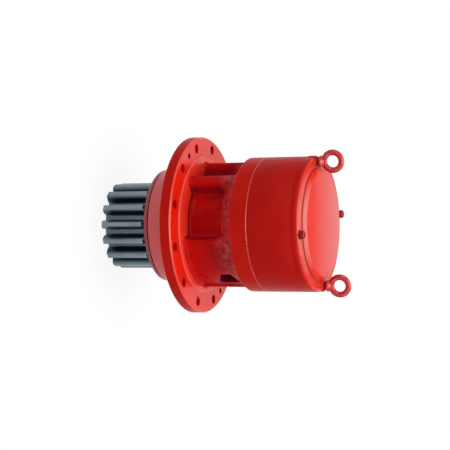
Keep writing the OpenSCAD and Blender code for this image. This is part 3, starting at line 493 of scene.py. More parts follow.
@dataclass(frozen=True)
class Rubber:
    """Moulded nitrile rubber.

    To the eye it is near black and dull, with a fine mould grain and a grey bloom.
    """

    name: str = "nitrile_rubber_moulded"
    colour: str = "#1b1b1d"
    bloom: str = "#2b2b2e"
    roughness: float = 0.62
    bloom_patches: Patches = Patches(9.0, 0.4, 0.7, 3.0)
    mould: Grain = Grain(0.7, 0.02)

    def build(self) -> Material:
        """Returns the material."""
        work = ShaderWork(bpy.data.materials.new(self.name))
        colour = work.coats(linear(self.colour), (work.patches(self.bloom_patches), self.bloom))
        return work.surface(colour, self.roughness, work.bumps(self.mould))


class Finishes:
    """Every finish on the gearbox, made once."""

    def __init__(self) -> None:
        """Builds the materials."""
        # Faces square to the shaft, with a full wet coat
        self.gloss = Enamel("red_enamel_full_gloss", "#e81e08", "#e01a07", 0.3, 1.38).build()
        # The motor end: a deeper red, with a painted reflection, paler and pinker, that grows towards -Y
        self.motor_end = PaintedSheenEnamel("red_enamel_painted_sheen_on_motor_end", "#c62416", "#c02012", 0.3, 1.25,
                                    painted_sheen="#bf4e44", painted_sheen_mm=(-85.0, -140.0)).build()
        # The cover: a painted reflection that grows towards +Y
        self.cover = PaintedSheenEnamel("red_enamel_painted_sheen_on_cover", "#cc1c06", "#c81804", 0.32, 1.15).build()
        # On slopes and on the shoulder a paler painted reflection grows towards -Y
        self.slope = PaintedSheenEnamel("red_enamel_painted_sheen_on_slopes", "#cc2410", "#c6200e", 0.32, 1.22,
                                painted_sheen="#cc6660", painted_sheen_mm=(-72.0, -122.0)).build()
        self.shoulder = PaintedSheenEnamel("red_enamel_painted_sheen_on_shoulder", "#cc2410", "#c6200e", 0.3, 1.28,
                                   painted_sheen="#c64c42", painted_sheen_mm=(-92.0, -148.0)).build()
        # Round sides, where the thinner film dried with less gloss
        self.side = Enamel("red_enamel_semi_gloss", "#d8201b", "#cf1b16", 0.36, 1.13).build()
        self.rim = Enamel("red_enamel_semi_gloss_on_casting", "#e22016", "#da1b12", 0.36, 1.14).build()
        # Edges and slopes: a pale, bright copy of the enamel, thin paint on the edges and a painted
        # highlight
        self.edge = Enamel("red_enamel_thin_on_edges_and_painted_highlight", "#ea4a3c", "#e23f33", 0.26, 1.45).build()
        # The pad: a brighter copy of the enamel, painted light where the drum shades it
        self.pad = Enamel("red_enamel_painted_light_on_pad", "#ff3a2a", "#f63424", 0.3, 1.4).build()
        # The spigot: a brighter, pinker copy of the enamel, painted light and a painted reflection of the
        # pale floor
        self.spigot = Enamel("red_enamel_painted_reflection_on_spigot", "#ee2e34", "#e4292f", 0.28, 1.86).build()
        self.seal_cover = Enamel("crimson_enamel_on_seal_cover", "#b01c28", "#a61823", 0.32, 1.7).build()
        self.cast = CastEnamel("red_enamel_on_cast_iron", "#d2120e", "#a80a0e", 0.4, 1.18).build()
        # The windows: a dark crimson, painted shade inside them
        self.window = Enamel("painted_shade_in_windows", "#920844", "#7a0636", 0.5, 1.2,
                             peel=Grain(7.0, 0.12, 1.0)).build()
        # Forgings and screws have a darker coat, with more gloss on the round eyes
        self.fittings = Enamel("crimson_enamel_on_forgings", "#c42a2b", "#b62426", 0.25, 1.48).build()
        self.screws = Enamel("crimson_enamel_on_screws", "#a4141a", "#941015", 0.42, 1.3).build()
        # The narrow groove and the threads in the jacking holes: a dark crimson, painted shade
        self.groove = Enamel("painted_shade_in_groove", "#520a20", "#400818", 0.6, 1.2).build()
        self.gear = HobbedSteel().build()
        self.black = BareMetal("black_oxide_steel", "#2b2c2f", "#1c1d20", 0.42, Cut.BLACKENED, 0.8).build()
        self.turned = BareMetal("turned_carbon_steel", "#9a9da0", "#83878b", 0.34, Cut.TURNED).build()
        self.ground = BareMetal("ground_bearing_steel", "#c3c6c9", "#aeb2b6", 0.2, Cut.GROUND).build()
        self.bronze = BareMetal("leaded_bearing_bronze", "#b98544", "#9c6c34", 0.32, Cut.TURNED).build()
        self.rubber = Rubber().build()


# Mesh work


def link(name: str, data: ID) -> Object:
    """Returns a new object of the scene that holds a mesh, a lamp or a camera."""
    thing = bpy.data.objects.new(name, data)
    bpy.context.scene.collection.objects.link(thing)
    return thing


def only(piece: Object) -> None:
    """Selects one piece alone and makes it active."""
    bpy.ops.object.select_all(action="DESELECT")
    piece.select_set(True)
    bpy.context.view_layer.objects.active = piece


def primitive(name: str, add: Callable[..., object], **settings: object) -> Object:
    """Adds one of Blender's primitives as a piece with its place in its mesh.

    Args:
        name: The piece's name.
        add: The operator that adds it.
        settings: The operator's settings.

    Returns:
        The piece.
    """
    bpy.ops.object.select_all(action="DESELECT")
    add(**settings)
    piece = bpy.context.active_object
    piece.name = name
    bpy.ops.object.transform_apply(location=True, rotation=True, scale=True)
    return piece


def edit(piece: Object, *steps: Callable[[], object], kind: str = "VERT",
         wanted: Callable[[object], bool] | None = None) -> bool:
    """Runs steps in edit mode, on a whole piece or on the vertices or edges that a rule picks.

    Args:
        piece: The piece.
        steps: Calls that act on the selection.
        kind: VERT or EDGE.
        wanted: The rule, or None for all.

    Returns:
        Whether there was anything to act on.
    """
    only(piece)
    bpy.ops.object.mode_set(mode="EDIT")
    bpy.ops.mesh.select_mode(type=kind)
    bpy.ops.mesh.select_all(action="DESELECT")
    work = bmesh.from_edit_mesh(piece.data)
    parts = work.verts if kind == "VERT" else work.edges
    chosen = [part for part in parts if wanted is None or wanted(part)]
    for part in chosen:
        part.select_set(True)
    work.select_flush_mode()
    bmesh.update_edit_mesh(piece.data)
    for step in steps if chosen else ():
        step()
    bpy.ops.object.mode_set(mode="OBJECT")
    return bool(chosen)


def apply_modifier(piece: Object, kind: str, **settings: object) -> None:
    """Adds a modifier and applies it.

    Args:
        piece: The piece.
        kind: Blender's name of the modifier.
        settings: Its settings.
    """
    only(piece)
    modifier = piece.modifiers.new(kind.lower(), kind)
    for name, value in settings.items():
        setattr(modifier, name, value)
    bpy.ops.object.modifier_apply(modifier=modifier.name)


def carve(piece: Object, operation: str, tool: Object) -> None:
    """Cuts a piece with a helper, exactly, and takes the helper out of the scene.

    Args:
        piece: The piece.
        operation: DIFFERENCE or INTERSECT.
        tool: The helper.
    """
    apply_modifier(piece, "BOOLEAN", operation=operation, object=tool, solver="EXACT")
    bpy.data.objects.remove(tool, do_unlink=True)


def smooth(piece: Object, angle_deg: float = 32.0) -> None:
    """Shades round surfaces smooth and keeps edges crisp.

    Args:
        piece: The piece.
        angle_deg: Edges steeper than this stay sharp.
    """
    only(piece)
    bpy.ops.object.shade_smooth_by_angle(angle=math.radians(angle_deg))


def dress(piece: Object, *materials: Material) -> None:
    """Gives a piece its finishes.

    Args:
        piece: The piece.
        materials: Its finishes by material slot, the first one everywhere.
    """
    piece.data.materials.clear()
    for material in materials:
        piece.data.materials.append(material)
    for polygon in piece.data.polygons:
        polygon.material_index = 0


def join(main_piece: Object, *others: Object) -> Object:
    """Joins pieces.

    Args:
        main_piece: The piece that stays.
        others: The pieces that it takes in.

    Returns:
        The main piece.
    """
    only(main_piece)
    for other in others:
        other.select_set(True)
    bpy.ops.object.join()
    return main_piece


def around(radius_mm: float, angle_deg: float, level_mm: float = 0.0) -> Vector:
    """Returns a place in metres by its radius and angle round the shaft axis and its level."""
    turn = math.radians(angle_deg)
    return Vector((mm(radius_mm) * math.cos(turn), mm(radius_mm) * math.sin(turn), mm(level_mm)))


def turned_blank(name: str, profile_mm: list[tuple[float, float]], steps: int,
                 centre: Vector = ORIGIN) -> Object:
    """Builds a closed round solid up from a disc, by extruding and sizing its upper face.

    Args:
        name: The piece's name.
        profile_mm: Radius and level of each corner, from the lower end up.
        steps: Divisions of the circle.
        centre: Place of its axis.

    Returns:
        The solid.
    """
    radius, level = profile_mm[0]
    piece = primitive(name, bpy.ops.mesh.primitive_circle_add, vertices=steps, radius=mm(radius),
                      fill_type="NGON", location=(centre.x, centre.y, mm(level)))
    only(piece)
    bpy.ops.object.mode_set(mode="EDIT")
    bpy.ops.mesh.select_mode(type="FACE")
    bpy.ops.mesh.select_all(action="SELECT")
    for next_radius, next_level in profile_mm[1:]:
        bpy.ops.mesh.extrude_region_move(
            TRANSFORM_OT_translate={"value": (0.0, 0.0, mm(next_level - level))})
        if next_radius != radius:
            ratio = next_radius / radius
            bpy.ops.transform.resize(value=(ratio, ratio, 1.0),
                                     center_override=(centre.x, centre.y, mm(next_level)))
        radius, level = next_radius, next_level
    bpy.ops.mesh.select_all(action="SELECT")
    bpy.ops.mesh.normals_make_consistent(inside=False)
    bpy.ops.object.mode_set(mode="OBJECT")
    return piece


def radius_of(point: Vector) -> float:
    """Returns the distance of a point from the shaft axis, in millimetres."""
    return MM_IN_M * math.hypot(point.x, point.y)


def reach_of(piece: Object, polygon: MeshPolygon) -> float:
    """Returns the mean distance of a face's corners from the shaft axis, in millimetres."""
    corners = [radius_of(piece.data.vertices[index].co) for index in polygon.vertices]
    return sum(corners) / len(corners)


def break_edges(piece: Object, width_mm: float, finish: int = -1,
                where: Callable[[BMEdge], bool] | None = None, least_deg: float = 30.0) -> None:
    """Rounds the sharp edges of a piece a little, as a file, a deburring wheel or a coat of paint does.

    Args:
        piece: The piece.
        width_mm: Width of the rounding.
        finish: Material slot of the rounding, or -1 for that of the faces beside it.
        where: A further rule for the edges, or None for all.
        least_deg: Only edges sharper than this.
    """

    def wanted(edge: BMEdge) -> bool:
        """Tells whether an edge is sharp and in the right place."""
        sharp = len(edge.link_faces) == 2 and edge.calc_face_angle(0.0) > math.radians(least_deg)
        return sharp and (where is None or where(edge))

    if edit(piece, lambda: bpy.ops.transform.edge_bevelweight(value=1.0), kind="EDGE", wanted=wanted):
        apply_modifier(piece, "BEVEL", width=mm(width_mm), segments=2, limit_method="WEIGHT",
                       material=finish, use_clamp_overlap=True, miter_outer="MITER_SHARP", loop_slide=True)


@dataclass
class Workshop:
    """What every sub-assembly needs: the frame and the finishes."""

    frame: dict
    finishes: Finishes
    made: list[str] = field(default_factory=list)

    def copy_of(self, node: str, name: str, *materials: Material) -> Object:
        """Copies a CAD node's solid as one closed mesh with its flat faces whole.

        Args:
            node: The CAD node.
            name: Name of the copy.
            materials: Its finishes, the first one everywhere.

        Returns:
            The copy, with its place in its mesh.
        """
        piece = link(name, self.frame["nodes"][node].data.copy())
        edit(piece, lambda: bpy.ops.mesh.remove_doubles(threshold=mm(WELD_MM)),
             lambda: bpy.ops.mesh.customdata_custom_splitnormals_clear(),
             lambda: bpy.ops.mesh.dissolve_limited(angle_limit=math.radians(FLAT_DEG)))
        dress(piece, *materials)
        return piece

    def fit(self, piece: Object, slot: str, replaced: Iterable[str] = (),
            body: str = "gearbox_case") -> None:
        """Puts a finished piece on its body.

        Args:
            piece: The piece.
            slot: The record's material slot; not used.
            replaced: CAD nodes that it stands for.
            body: The CAD body that carries it.
        """
        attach(piece, body)
        if replaced:
            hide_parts(*replaced)
        self.made.append(piece.name)
        log.info("%s: %d faces on %s", piece.name, len(piece.data.polygons), body)

    def fit_plain(self, node: str, name: str, finish: Material, width_mm: float, slot: str) -> None:
        """Copies a node of the case, breaks its edges and fits it.

        Args:
            node: The CAD node.
            name: Name of the copy.
            finish: Its one finish.
            width_mm: Width of the rounding on its edges.
            slot: The record's material slot.
        """
        piece = self.copy_of(node, name, finish)
        break_edges(piece, width_mm)
        smooth(piece)
        self.fit(piece, slot, [node])


# Sub-assemblies


class HousingCoat(IntEnum):
    """Material slots of the housing."""

    GLOSS = 0
    EDGE = 1
    SIDE = 2
    SPIGOT = 3
    CAST = 4
    BARE = 5
    PAD = 6
    WINDOW = 7


@dataclass
class HousingCasting:
    """The cast housing: turned flange, spigot and cup, and the ribbed neck with its sand-cast skin."""

    shop: Workshop
    rim_break: float = 0.9
    edge_break: float = 0.6
    rings_from_r: float = 115.0
    pad_level: float = 29.0
    pad_r: float = 159.0
    neck_top: float = 143.0
    # The cast neck and the room that is cut for it: radii at the pad and at the cup, and how far they reach
    # below the pad and above the neck
    skin_r: tuple[float, float] = (156.0, 151.0)
    skin_ends: tuple[float, float] = (13.0, 11.0)
    cut_r: tuple[float, float] = (149.0, 146.6)
    cut_ends: tuple[float, float] = (9.0, 7.0)
    split_level: float = 62.0
    plug_r: float = 96.0
    plug_ends: tuple[float, float] = (12.5, 10.5)
    voxel: float = 2.3
    neck_angle: float = 60.0
    spigot_top: float = -0.4
    spigot_r: float = 140.0
    window_angles: tuple[float, float] = (144.0, 168.0)
    window_levels: tuple[float, float] = (78.0, 130.0)
    window_r: float = 134.5
    bore_r: float = 98.5
    bore_low: float = -60.0
    cup_bore_r: float = 148.0
    cup_floor: float = 150.0

    def build(self) -> None:
        """Makes the turned body and the cast neck, and joins them as one housing."""
        finishes = self.shop.finishes
        coats = (finishes.gloss, finishes.edge, finishes.rim, finishes.spigot, finishes.cast,
                 finishes.turned, finishes.pad, finishes.window)
        housing = self.shop.copy_of("housing", "housing_casting", *coats)
        neck = self.cast_neck(housing)
        dress(neck, *coats)
        smooth(neck, self.neck_angle)
        # The neck comes out of the turned body, which leaves room for the cast skin
        carve(housing, "DIFFERENCE", self.room("neck_room", self.cut_r, self.cut_ends))
        # The rounded rims take the pale edge colour, a painted highlight
        break_edges(housing, self.rim_break, HousingCoat.EDGE, self.rings_axis)
        break_edges(housing, self.edge_break, where=lambda e: not self.rings_axis(e))
        smooth(housing)
        housing = join(housing, neck)
        self.coat(housing)
        self.shop.fit(housing, "red_enamel", ["housing"])

    def rings_axis(self, edge: BMEdge) -> bool:
        """Tells whether an edge belongs to a circle round the shaft axis, outside the bores.

        Args:
            edge: The edge.

        Returns:
            Whether it does.
        """
        one, two = (vert.co for vert in edge.verts)
        level = abs(one.z - two.z) < mm(0.01)
        return level and abs(radius_of(one) - radius_of(two)) < 0.05 and radius_of(one) > self.rings_from_r

    def coat(self, piece: Object) -> None:
        """Lays each kind of coat where it belongs.

        Args:
            piece: The whole housing.
        """
        for polygon in piece.data.polygons:
            level = polygon.center.z * MM_IN_M
            radius = reach_of(piece, polygon)
            # 1 on a face square to the shaft, 0 on a round side
            square = abs(polygon.normal.z)
            in_bore = radius < self.bore_r and level > self.bore_low
            if in_bore or level > self.cup_floor and radius < self.cup_bore_r:
                polygon.material_index = HousingCoat.BARE
            # Faces inside the windows take the dark colour, painted shade
            elif self.in_window(polygon):
                polygon.material_index = HousingCoat.WINDOW
            elif self.pad_level + 0.2 < level < self.neck_top + 0.6 and radius < self.cup_bore_r + 1.0:
                polygon.material_index = HousingCoat.CAST
            # The spigot takes its brighter, pinker colour, painted light and a painted reflection
            elif level < self.spigot_top and radius < self.spigot_r:
                polygon.material_index = HousingCoat.SPIGOT
            # The pad takes its brighter colour, painted light
            elif abs(level - self.pad_level) < 0.3 and radius < self.pad_r:
                polygon.material_index = HousingCoat.PAD
            # Slopes take the pale edge colour, a painted highlight, and round sides the side colour
            elif polygon.material_index != HousingCoat.EDGE and square < 0.9:
                polygon.material_index = HousingCoat.EDGE if square > 0.3 else HousingCoat.SIDE

    def in_window(self, polygon: MeshPolygon) -> bool:
        """Tells whether a face lies inside one of the two windows in the broad walls.

        Args:
            polygon: The face.

        Returns:
            Whether it does.
        """
        way = math.degrees(math.atan2(polygon.center.y, polygon.center.x)) % 180.0
        inside = all(low < value < high for value, (low, high) in (
            (way, self.window_angles), (polygon.center.z * MM_IN_M, self.window_levels)))
        return inside and radius_of(polygon.center) < self.window_r

    def room(self, name: str, radii: tuple[float, float], ends: tuple[float, float]) -> Object:
        """Builds the blank that bounds the neck.

        Args:
            name: Name of the helper.
            radii: Its radii at the pad and at the cup.
            ends: How far it reaches below the pad and above the neck.

        Returns:
            The blank.
        """
        return turned_blank(name, [
            (radii[0], self.pad_level - ends[0]), (radii[0], self.split_level),
            (radii[1], self.split_level + 0.1), (radii[1], self.neck_top + ends[1])], 128)

    def cast_neck(self, housing: Object) -> Object:
        """Makes the neck as it leaves the sand: soft corners, full fillets and an uneven skin.

        Args:
            housing: The whole housing as a closed mesh.

        Returns:
            The neck, which reaches a little into flange and cup.
        """
        neck = link("housing_neck", housing.data.copy())
        carve(neck, "INTERSECT", self.room("neck_bound", self.skin_r, self.skin_ends))
        plug = turned_blank("bore_plug", [(self.plug_r, self.pad_level - self.plug_ends[0]),
                                          (self.plug_r, self.neck_top + self.plug_ends[1])], 96)
        neck = join(neck, plug)
        apply_modifier(neck, "REMESH", mode="VOXEL", voxel_size=mm(self.voxel), adaptivity=0.0)
        apply_modifier(neck, "SMOOTH", factor=0.5, iterations=9)
        return neck


@dataclass
class JackingThreads:
    """The cut threads in the flange's two jacking holes."""

    shop: Workshop
    hole_r: float = 7.0
    crest_r: float = 0.62
    root_sink: float = 0.05
    circle_r: float = 182.5
    angles: tuple[float, float] = (30.0, 210.0)
    pitch: float = 2.0
    low: float = 1.0
    turns: int = 12
    steps: int = 24

    def build(self) -> None:
        """Winds one thread with the Screw modifier and copies it."""
        crest = primitive("jacking_hole_threads", bpy.ops.mesh.primitive_circle_add, vertices=3,
                          radius=mm(self.crest_r), fill_type="NOTHING", location=ORIGIN,
                          rotation=(math.radians(90.0), 0.0, 0.0))
        outermost = max(v.co.x for v in crest.data.vertices)
        place = (mm(self.hole_r + self.root_sink) - outermost, 0.0, mm(self.low))
        edit(crest, lambda: bpy.ops.transform.translate(value=place))
        apply_modifier(crest, "SCREW", axis="Z", angle=2.0 * math.pi, screw_offset=mm(self.pitch),
                       iterations=self.turns, steps=self.steps, render_steps=self.steps)
        edit(crest, lambda: bpy.ops.mesh.normals_make_consistent(inside=False))
        second = link("second_thread", crest.data.copy())
        for thread, angle in zip((crest, second), self.angles):
            edit(thread, lambda: bpy.ops.transform.translate(value=around(self.circle_r, angle)))
        threads = join(crest, second)
        # The threads take the dark groove colour, painted shade in the holes
        dress(threads, self.shop.finishes.groove)
        smooth(threads)
        self.shop.fit(threads, "machined_steel")


class DrumCoat(IntEnum):
    """Material slots of the drum's pieces."""

    FACE = 0
    EDGE = 1
    SIDE = 2
    SLOPE = 3
    BARE = 4


@dataclass
class Drum:
    """The upper drum: ring gear, motor flange and cover."""

    shop: Workshop
    drum_r: float = 154.5
    side_r: float = 150.0
    bare_r: float = 146.0
    outside_r: float = 110.0
    upper_seam: float = 290.0
    seam_clear: float = 5.0
    band_width: float = 3.4
    band_thick: float = 1.2
    band_sink: float = 0.06
    band_hollow: float = 0.22
    cover_r: float = 131.0
    face_r: float = 119.0
    face_rim_break: float = 1.5
    cover_seam: float = 309.0
    face_rise: float = 6.0
    line_r: float = 0.75

    def build(self) -> None:
        """Makes the drum's pieces."""
        finishes = self.shop.finishes
        for node, width, face, slope in (("ring_gear", 0.3, finishes.gloss, finishes.slope),
                                         ("motor_flange", 0.8, finishes.motor_end, finishes.shoulder),
                                         ("input_cover", 0.8, finishes.cover, finishes.slope)):
            piece = self.shop.copy_of(node, f"{node}_painted", face, finishes.edge, finishes.side, slope,
                                      finishes.turned)
            break_edges(piece, width, where=lambda e: radius_of(e.verts[0].co) > self.outside_r)
            self.coat(piece, node)
            if node == "input_cover":
                # The rim of the cover's raised face takes the pale edge colour, a painted highlight
                break_edges(piece, self.face_rim_break, DrumCoat.EDGE, self.on_face_rim, least_deg=8.0)
            smooth(piece)
            self.shop.fit(piece, "red_enamel", [node])
        self.upper_seam_band()
        self.cover_sealant()
        self.shop.fit_plain("drain_plug", "drain_plug_blackened", finishes.black, 0.5, "black_oxide_steel")

    def coat(self, piece: Object, node: str) -> None:
        """Lays each kind of coat on the drum's outside and leaves its inside bare.

        Args:
            piece: A piece of the drum.
            node: The CAD node that it stands for.
        """
        is_ring = node == "ring_gear"
        for polygon in piece.data.polygons:
            radius = reach_of(piece, polygon)
            # 1 on a round side that looks away from the shaft, 0 on a face square to it
            out = Vector((polygon.center.x, polygon.center.y, 0.0)).normalized().dot(polygon.normal)
            below_seam = polygon.center.z < mm(self.upper_seam - self.seam_clear)
            if is_ring and radius < self.bare_r or out < -0.5:
                polygon.material_index = DrumCoat.BARE
            # Slopes of the ring gear below the seam take the pale edge colour, a painted highlight
            elif is_ring and 0.2 < out < 0.95 and below_seam:
                polygon.material_index = DrumCoat.EDGE
            # Upward slopes of the motor flange and the cover take the slope colours with their painted
            # reflection
            elif not is_ring and 0.12 < out < 0.85 and polygon.normal.z > 0.0:
                polygon.material_index = DrumCoat.SLOPE
            elif out > 0.6 and radius > self.side_r:
                polygon.material_index = DrumCoat.SIDE

    def on_face_rim(self, edge: BMEdge) -> bool:
        """Tells whether an edge belongs to the rim of the cover's raised face."""
        lowest = mm(self.cover_seam + self.face_rise)
        return all(abs(radius_of(vert.co) - self.face_r) < 1.0 and vert.co.z > lowest for vert in edge.verts)

    def upper_seam_band(self) -> None:
        """Fills the upper seam's groove with the sealant that was wiped flush and painted over."""
        outer = self.drum_r - self.band_sink
        band = primitive("upper_seam_sealant", bpy.ops.mesh.primitive_cylinder_add, vertices=180,
                         radius=mm(outer), depth=mm(self.band_width), end_fill_type="NOTHING",
                         location=(0.0, 0.0, mm(self.upper_seam)))
        edit(band, lambda: bpy.ops.mesh.subdivide(number_cuts=1))
        # A wiped fillet is hollow: its middle lies a little below the paint on either side
        ratio = (self.drum_r - self.band_hollow) / outer
        edit(band, lambda: bpy.ops.transform.resize(value=(ratio, ratio, 1.0), center_override=ORIGIN),
             wanted=lambda v: abs(v.co.z - mm(self.upper_seam)) < mm(0.5))
        apply_modifier(band, "SOLIDIFY", thickness=mm(self.band_thick), offset=-1.0)
        dress(band, self.shop.finishes.side)
        smooth(band, 50.0)
        self.shop.fit(band, "red_enamel")

    def cover_sealant(self) -> None:
        """Lays the dark sealant that was squeezed out along the cover's seam, uneven as it came."""
        line = primitive("cover_seam_sealant", bpy.ops.mesh.primitive_torus_add,
                         major_radius=mm(self.cover_r + 0.1), minor_radius=mm(self.line_r),
                         major_segments=240, minor_segments=8, location=(0.0, 0.0, mm(self.cover_seam)))
        for lobes, push in ((7, 0.25), (17, 0.2), (31, 0.12)):
            edit(line, lambda: bpy.ops.transform.translate(value=(0.0, 0.0, -mm(push))),
                 wanted=lambda v: math.sin(lobes * math.atan2(v.co.y, v.co.x)) > 0.35)
        apply_modifier(line, "SMOOTH", factor=0.5, iterations=2)
        dress(line, self.shop.finishes.rubber)
        smooth(line, 60.0)
        self.shop.fit(line, "nitrile_rubber")


@dataclass
class CapScrews:
    """The two socket-head cap screws on the drum, with their knurled heads."""

    shop: Workshop
    angles: tuple[float, float] = (99.0, 279.0)
    circle_r: float = 143.0
    knurl_r: float = 9.25
    knurl_low: float = 310.2
    knurl_high: float = 317.2
    knurls: int = 30
    knurl_depth: float = 0.55
    chamfer: float = 0.5

    def build(self) -> None:
        """Copies the screws and presses a knurled band on each head."""
        finishes = self.shop.finishes
        screws = self.shop.copy_of("drum_cap_screws", "drum_cap_screws_painted", finishes.screws)
        break_edges(screws, 0.5)
        bands = [self.band(angle) for angle in self.angles]
        for band in bands:
            dress(band, finishes.screws)
        screws = join(screws, *bands)
        smooth(screws)
        self.shop.fit(screws, "red_enamel_fittings", ["drum_cap_screws"])

    def band(self, angle: float) -> Object:
        """Makes one knurled band: a disc with every second corner pressed in.

        Args:
            angle: The screw's place round the shaft.

        Returns:
            The band.
        """
        centre = around(self.circle_r, angle, self.knurl_low)
        inner = self.knurl_r - self.chamfer
        profile = [(inner, self.knurl_low), (self.knurl_r, self.knurl_low + self.chamfer),
                   (self.knurl_r, self.knurl_high - self.chamfer), (inner, self.knurl_high)]
        band = turned_blank(f"knurl_{angle:.0f}", profile, 2 * self.knurls, centre)

        def pressed(vert: BMVert) -> bool:
            """Tells whether a corner lies in a groove."""
            way = math.atan2(vert.co.y - centre.y, vert.co.x - centre.x)
            return round(way / (math.pi / self.knurls)) % 2 == 1

        ratio = 1.0 - self.knurl_depth / self.knurl_r
        edit(band, lambda: bpy.ops.transform.resize(value=(ratio, ratio, 1.0), center_override=centre),
             wanted=pressed)
        return band


@dataclass
class LiftingTackle:
    """Two forged eye bolts and their jam nuts."""

    shop: Workshop
    voxel: float = 0.9
    circle_r: float = 143.0
    angles: tuple[float, float] = (9.0, 189.0)
    eye_z: float = 347.0
    eye_r: float = 27.0
    eye_reach: float = 60.0
    ring_low: float = 328.5
    thicken: float = 1.0

    def build(self) -> None:
        """Makes the eye bolts and nuts."""
        finishes = self.shop.finishes
        eyes = self.shop.copy_of("eye_bolts", "eye_bolts_forged", finishes.fittings)
        # A drop forging has no sharp corner: the ring runs into its collar through a fillet
        apply_modifier(eyes, "REMESH", mode="VOXEL", voxel_size=mm(self.voxel), adaptivity=0.0)
        self.thicken_rings(eyes)
        apply_modifier(eyes, "SMOOTH", factor=0.5, iterations=5)
        smooth(eyes, 60.0)
        self.shop.fit(eyes, "red_enamel_fittings", ["eye_bolts"])
        self.shop.fit_plain("eye_bolt_jam_nuts", "eye_bolt_jam_nuts_painted", finishes.screws, 0.5,
                            "red_enamel_fittings")

    def thicken_rings(self, eyes: Object) -> None:
        """Gives the rings the fuller section of a forging, inwards only, so that the outer size stays.

        Args:
            eyes: The two eye bolts as one piece.
        """
        ring = eyes.vertex_groups.new(name="ring")
        ring.add([v.index for v in eyes.data.vertices if v.co.z > mm(self.ring_low)], 1.0, "REPLACE")
        apply_modifier(eyes, "DISPLACE", strength=mm(self.thicken), mid_level=0.0, vertex_group="ring")
        ratio = self.eye_r / (self.eye_r + self.thicken)
        for angle in self.angles:
            centre = around(self.circle_r, angle, self.eye_z)
            edit(eyes, lambda: bpy.ops.transform.resize(value=(ratio,) * 3, center_override=centre),
                 wanted=lambda v: v.co.z > mm(self.ring_low) and (v.co - centre).length < mm(self.eye_reach))


@dataclass
class PinionEnd:
    """The pinion with its shaft, the seal cover, its screws and the shaft seal."""

    shop: Workshop
    end_level: float = -196.0
    teeth_top: float = -85.0
    centre_r: float = 8.0
    centre_tip_r: float = 2.0
    centre_depth: float = 9.0
    tip_r: float = 101.0
    blank_top: float = 400.0
    seal_cover_r: float = 130.0
    groove_low: float = -65.2
    groove_slot: int = 1

    def build(self) -> None:
        """Makes the pieces below the flange."""
        finishes = self.shop.finishes
        pinion = self.shop.copy_of("pinion_shaft", "pinion_shaft_hobbed", finishes.gear)
        self.drill_centre(pinion)
        self.turn_tips(pinion)
        break_edges(pinion, 0.8,
                    where=lambda e: (e.verts[0].co.z + e.verts[1].co.z) / 2 < mm(self.teeth_top))
        smooth(pinion)
        self.shop.fit(pinion, "gear_steel", ["pinion_shaft"], "output_shaft_set")
        cover = self.shop.copy_of("seal_cover", "seal_cover_painted", finishes.seal_cover, finishes.groove)
        break_edges(cover, 0.5)
        # Faces inside the groove take the dark colour, painted shade
        for polygon in cover.data.polygons:
            if polygon.center.z > mm(self.groove_low) and reach_of(cover, polygon) < self.seal_cover_r - 0.3:
                polygon.material_index = self.groove_slot
        smooth(cover)
        self.shop.fit(cover, "red_enamel", ["seal_cover"])
        self.shop.fit_plain("seal_cover_screws", "seal_cover_screws_blackened", finishes.black, 0.25,
                            "black_oxide_steel")
        self.shop.fit_plain("oil_seal", "oil_seal_moulded", finishes.rubber, 0.4, "nitrile_rubber")

    def turn_tips(self, pinion: Object) -> None:
        """Cuts the rounding that the gear blank had on its lower corner before the teeth were hobbed.

        Args:
            pinion: The pinion.
        """
        corner = ((-5.5, -0.2), (-2.4, 0.7), (-0.8, 2.2), (0.3, 5.0), (1.0, 9.0))
        profile = [(self.tip_r + out, self.end_level + up) for out, up in corner]
        profile.append((profile[-1][0], self.blank_top))
        carve(pinion, "INTERSECT", turned_blank("gear_blank", profile, 180))

    def drill_centre(self, pinion: Object) -> None:
        """Drills the centre hole that held the shaft between the lathe's centres.

        Args:
            pinion: The pinion.
        """
        tip = self.end_level + self.centre_depth
        carve(pinion, "DIFFERENCE", turned_blank("centre_drill", [
            (self.centre_r + 1.0, self.end_level - 1.0), (self.centre_r, self.end_level),
            (self.centre_tip_r, tip), (self.centre_tip_r, tip + 3.0)], 48))


@dataclass
class GearTrain:
    """Bearings, carriers, planets and seals inside, which keep their CAD solids."""

    shop: Workshop

    def build(self) -> None:
        """Gives each inner node its finish by the record's slot."""
        finishes = self.shop.finishes
        by_slot = {
            "red_enamel": finishes.gloss,
            "red_enamel_fittings": finishes.fittings,
            "gear_steel": finishes.turned,
            "black_oxide_steel": finishes.black,
            "machined_steel": finishes.turned,
            "ground_steel": finishes.ground,
            "bearing_bronze": finishes.bronze,
            "nitrile_rubber": finishes.rubber,
        }
        for part in self.shop.frame["record"]["subparts"]:
            mesh = self.shop.frame["nodes"][part["node"]].data
            mesh.materials.clear()
            mesh.materials.append(by_slot[part["material_slot"]])
            log.info("%s: %s", part["node"], part["material_slot"])


# Studio


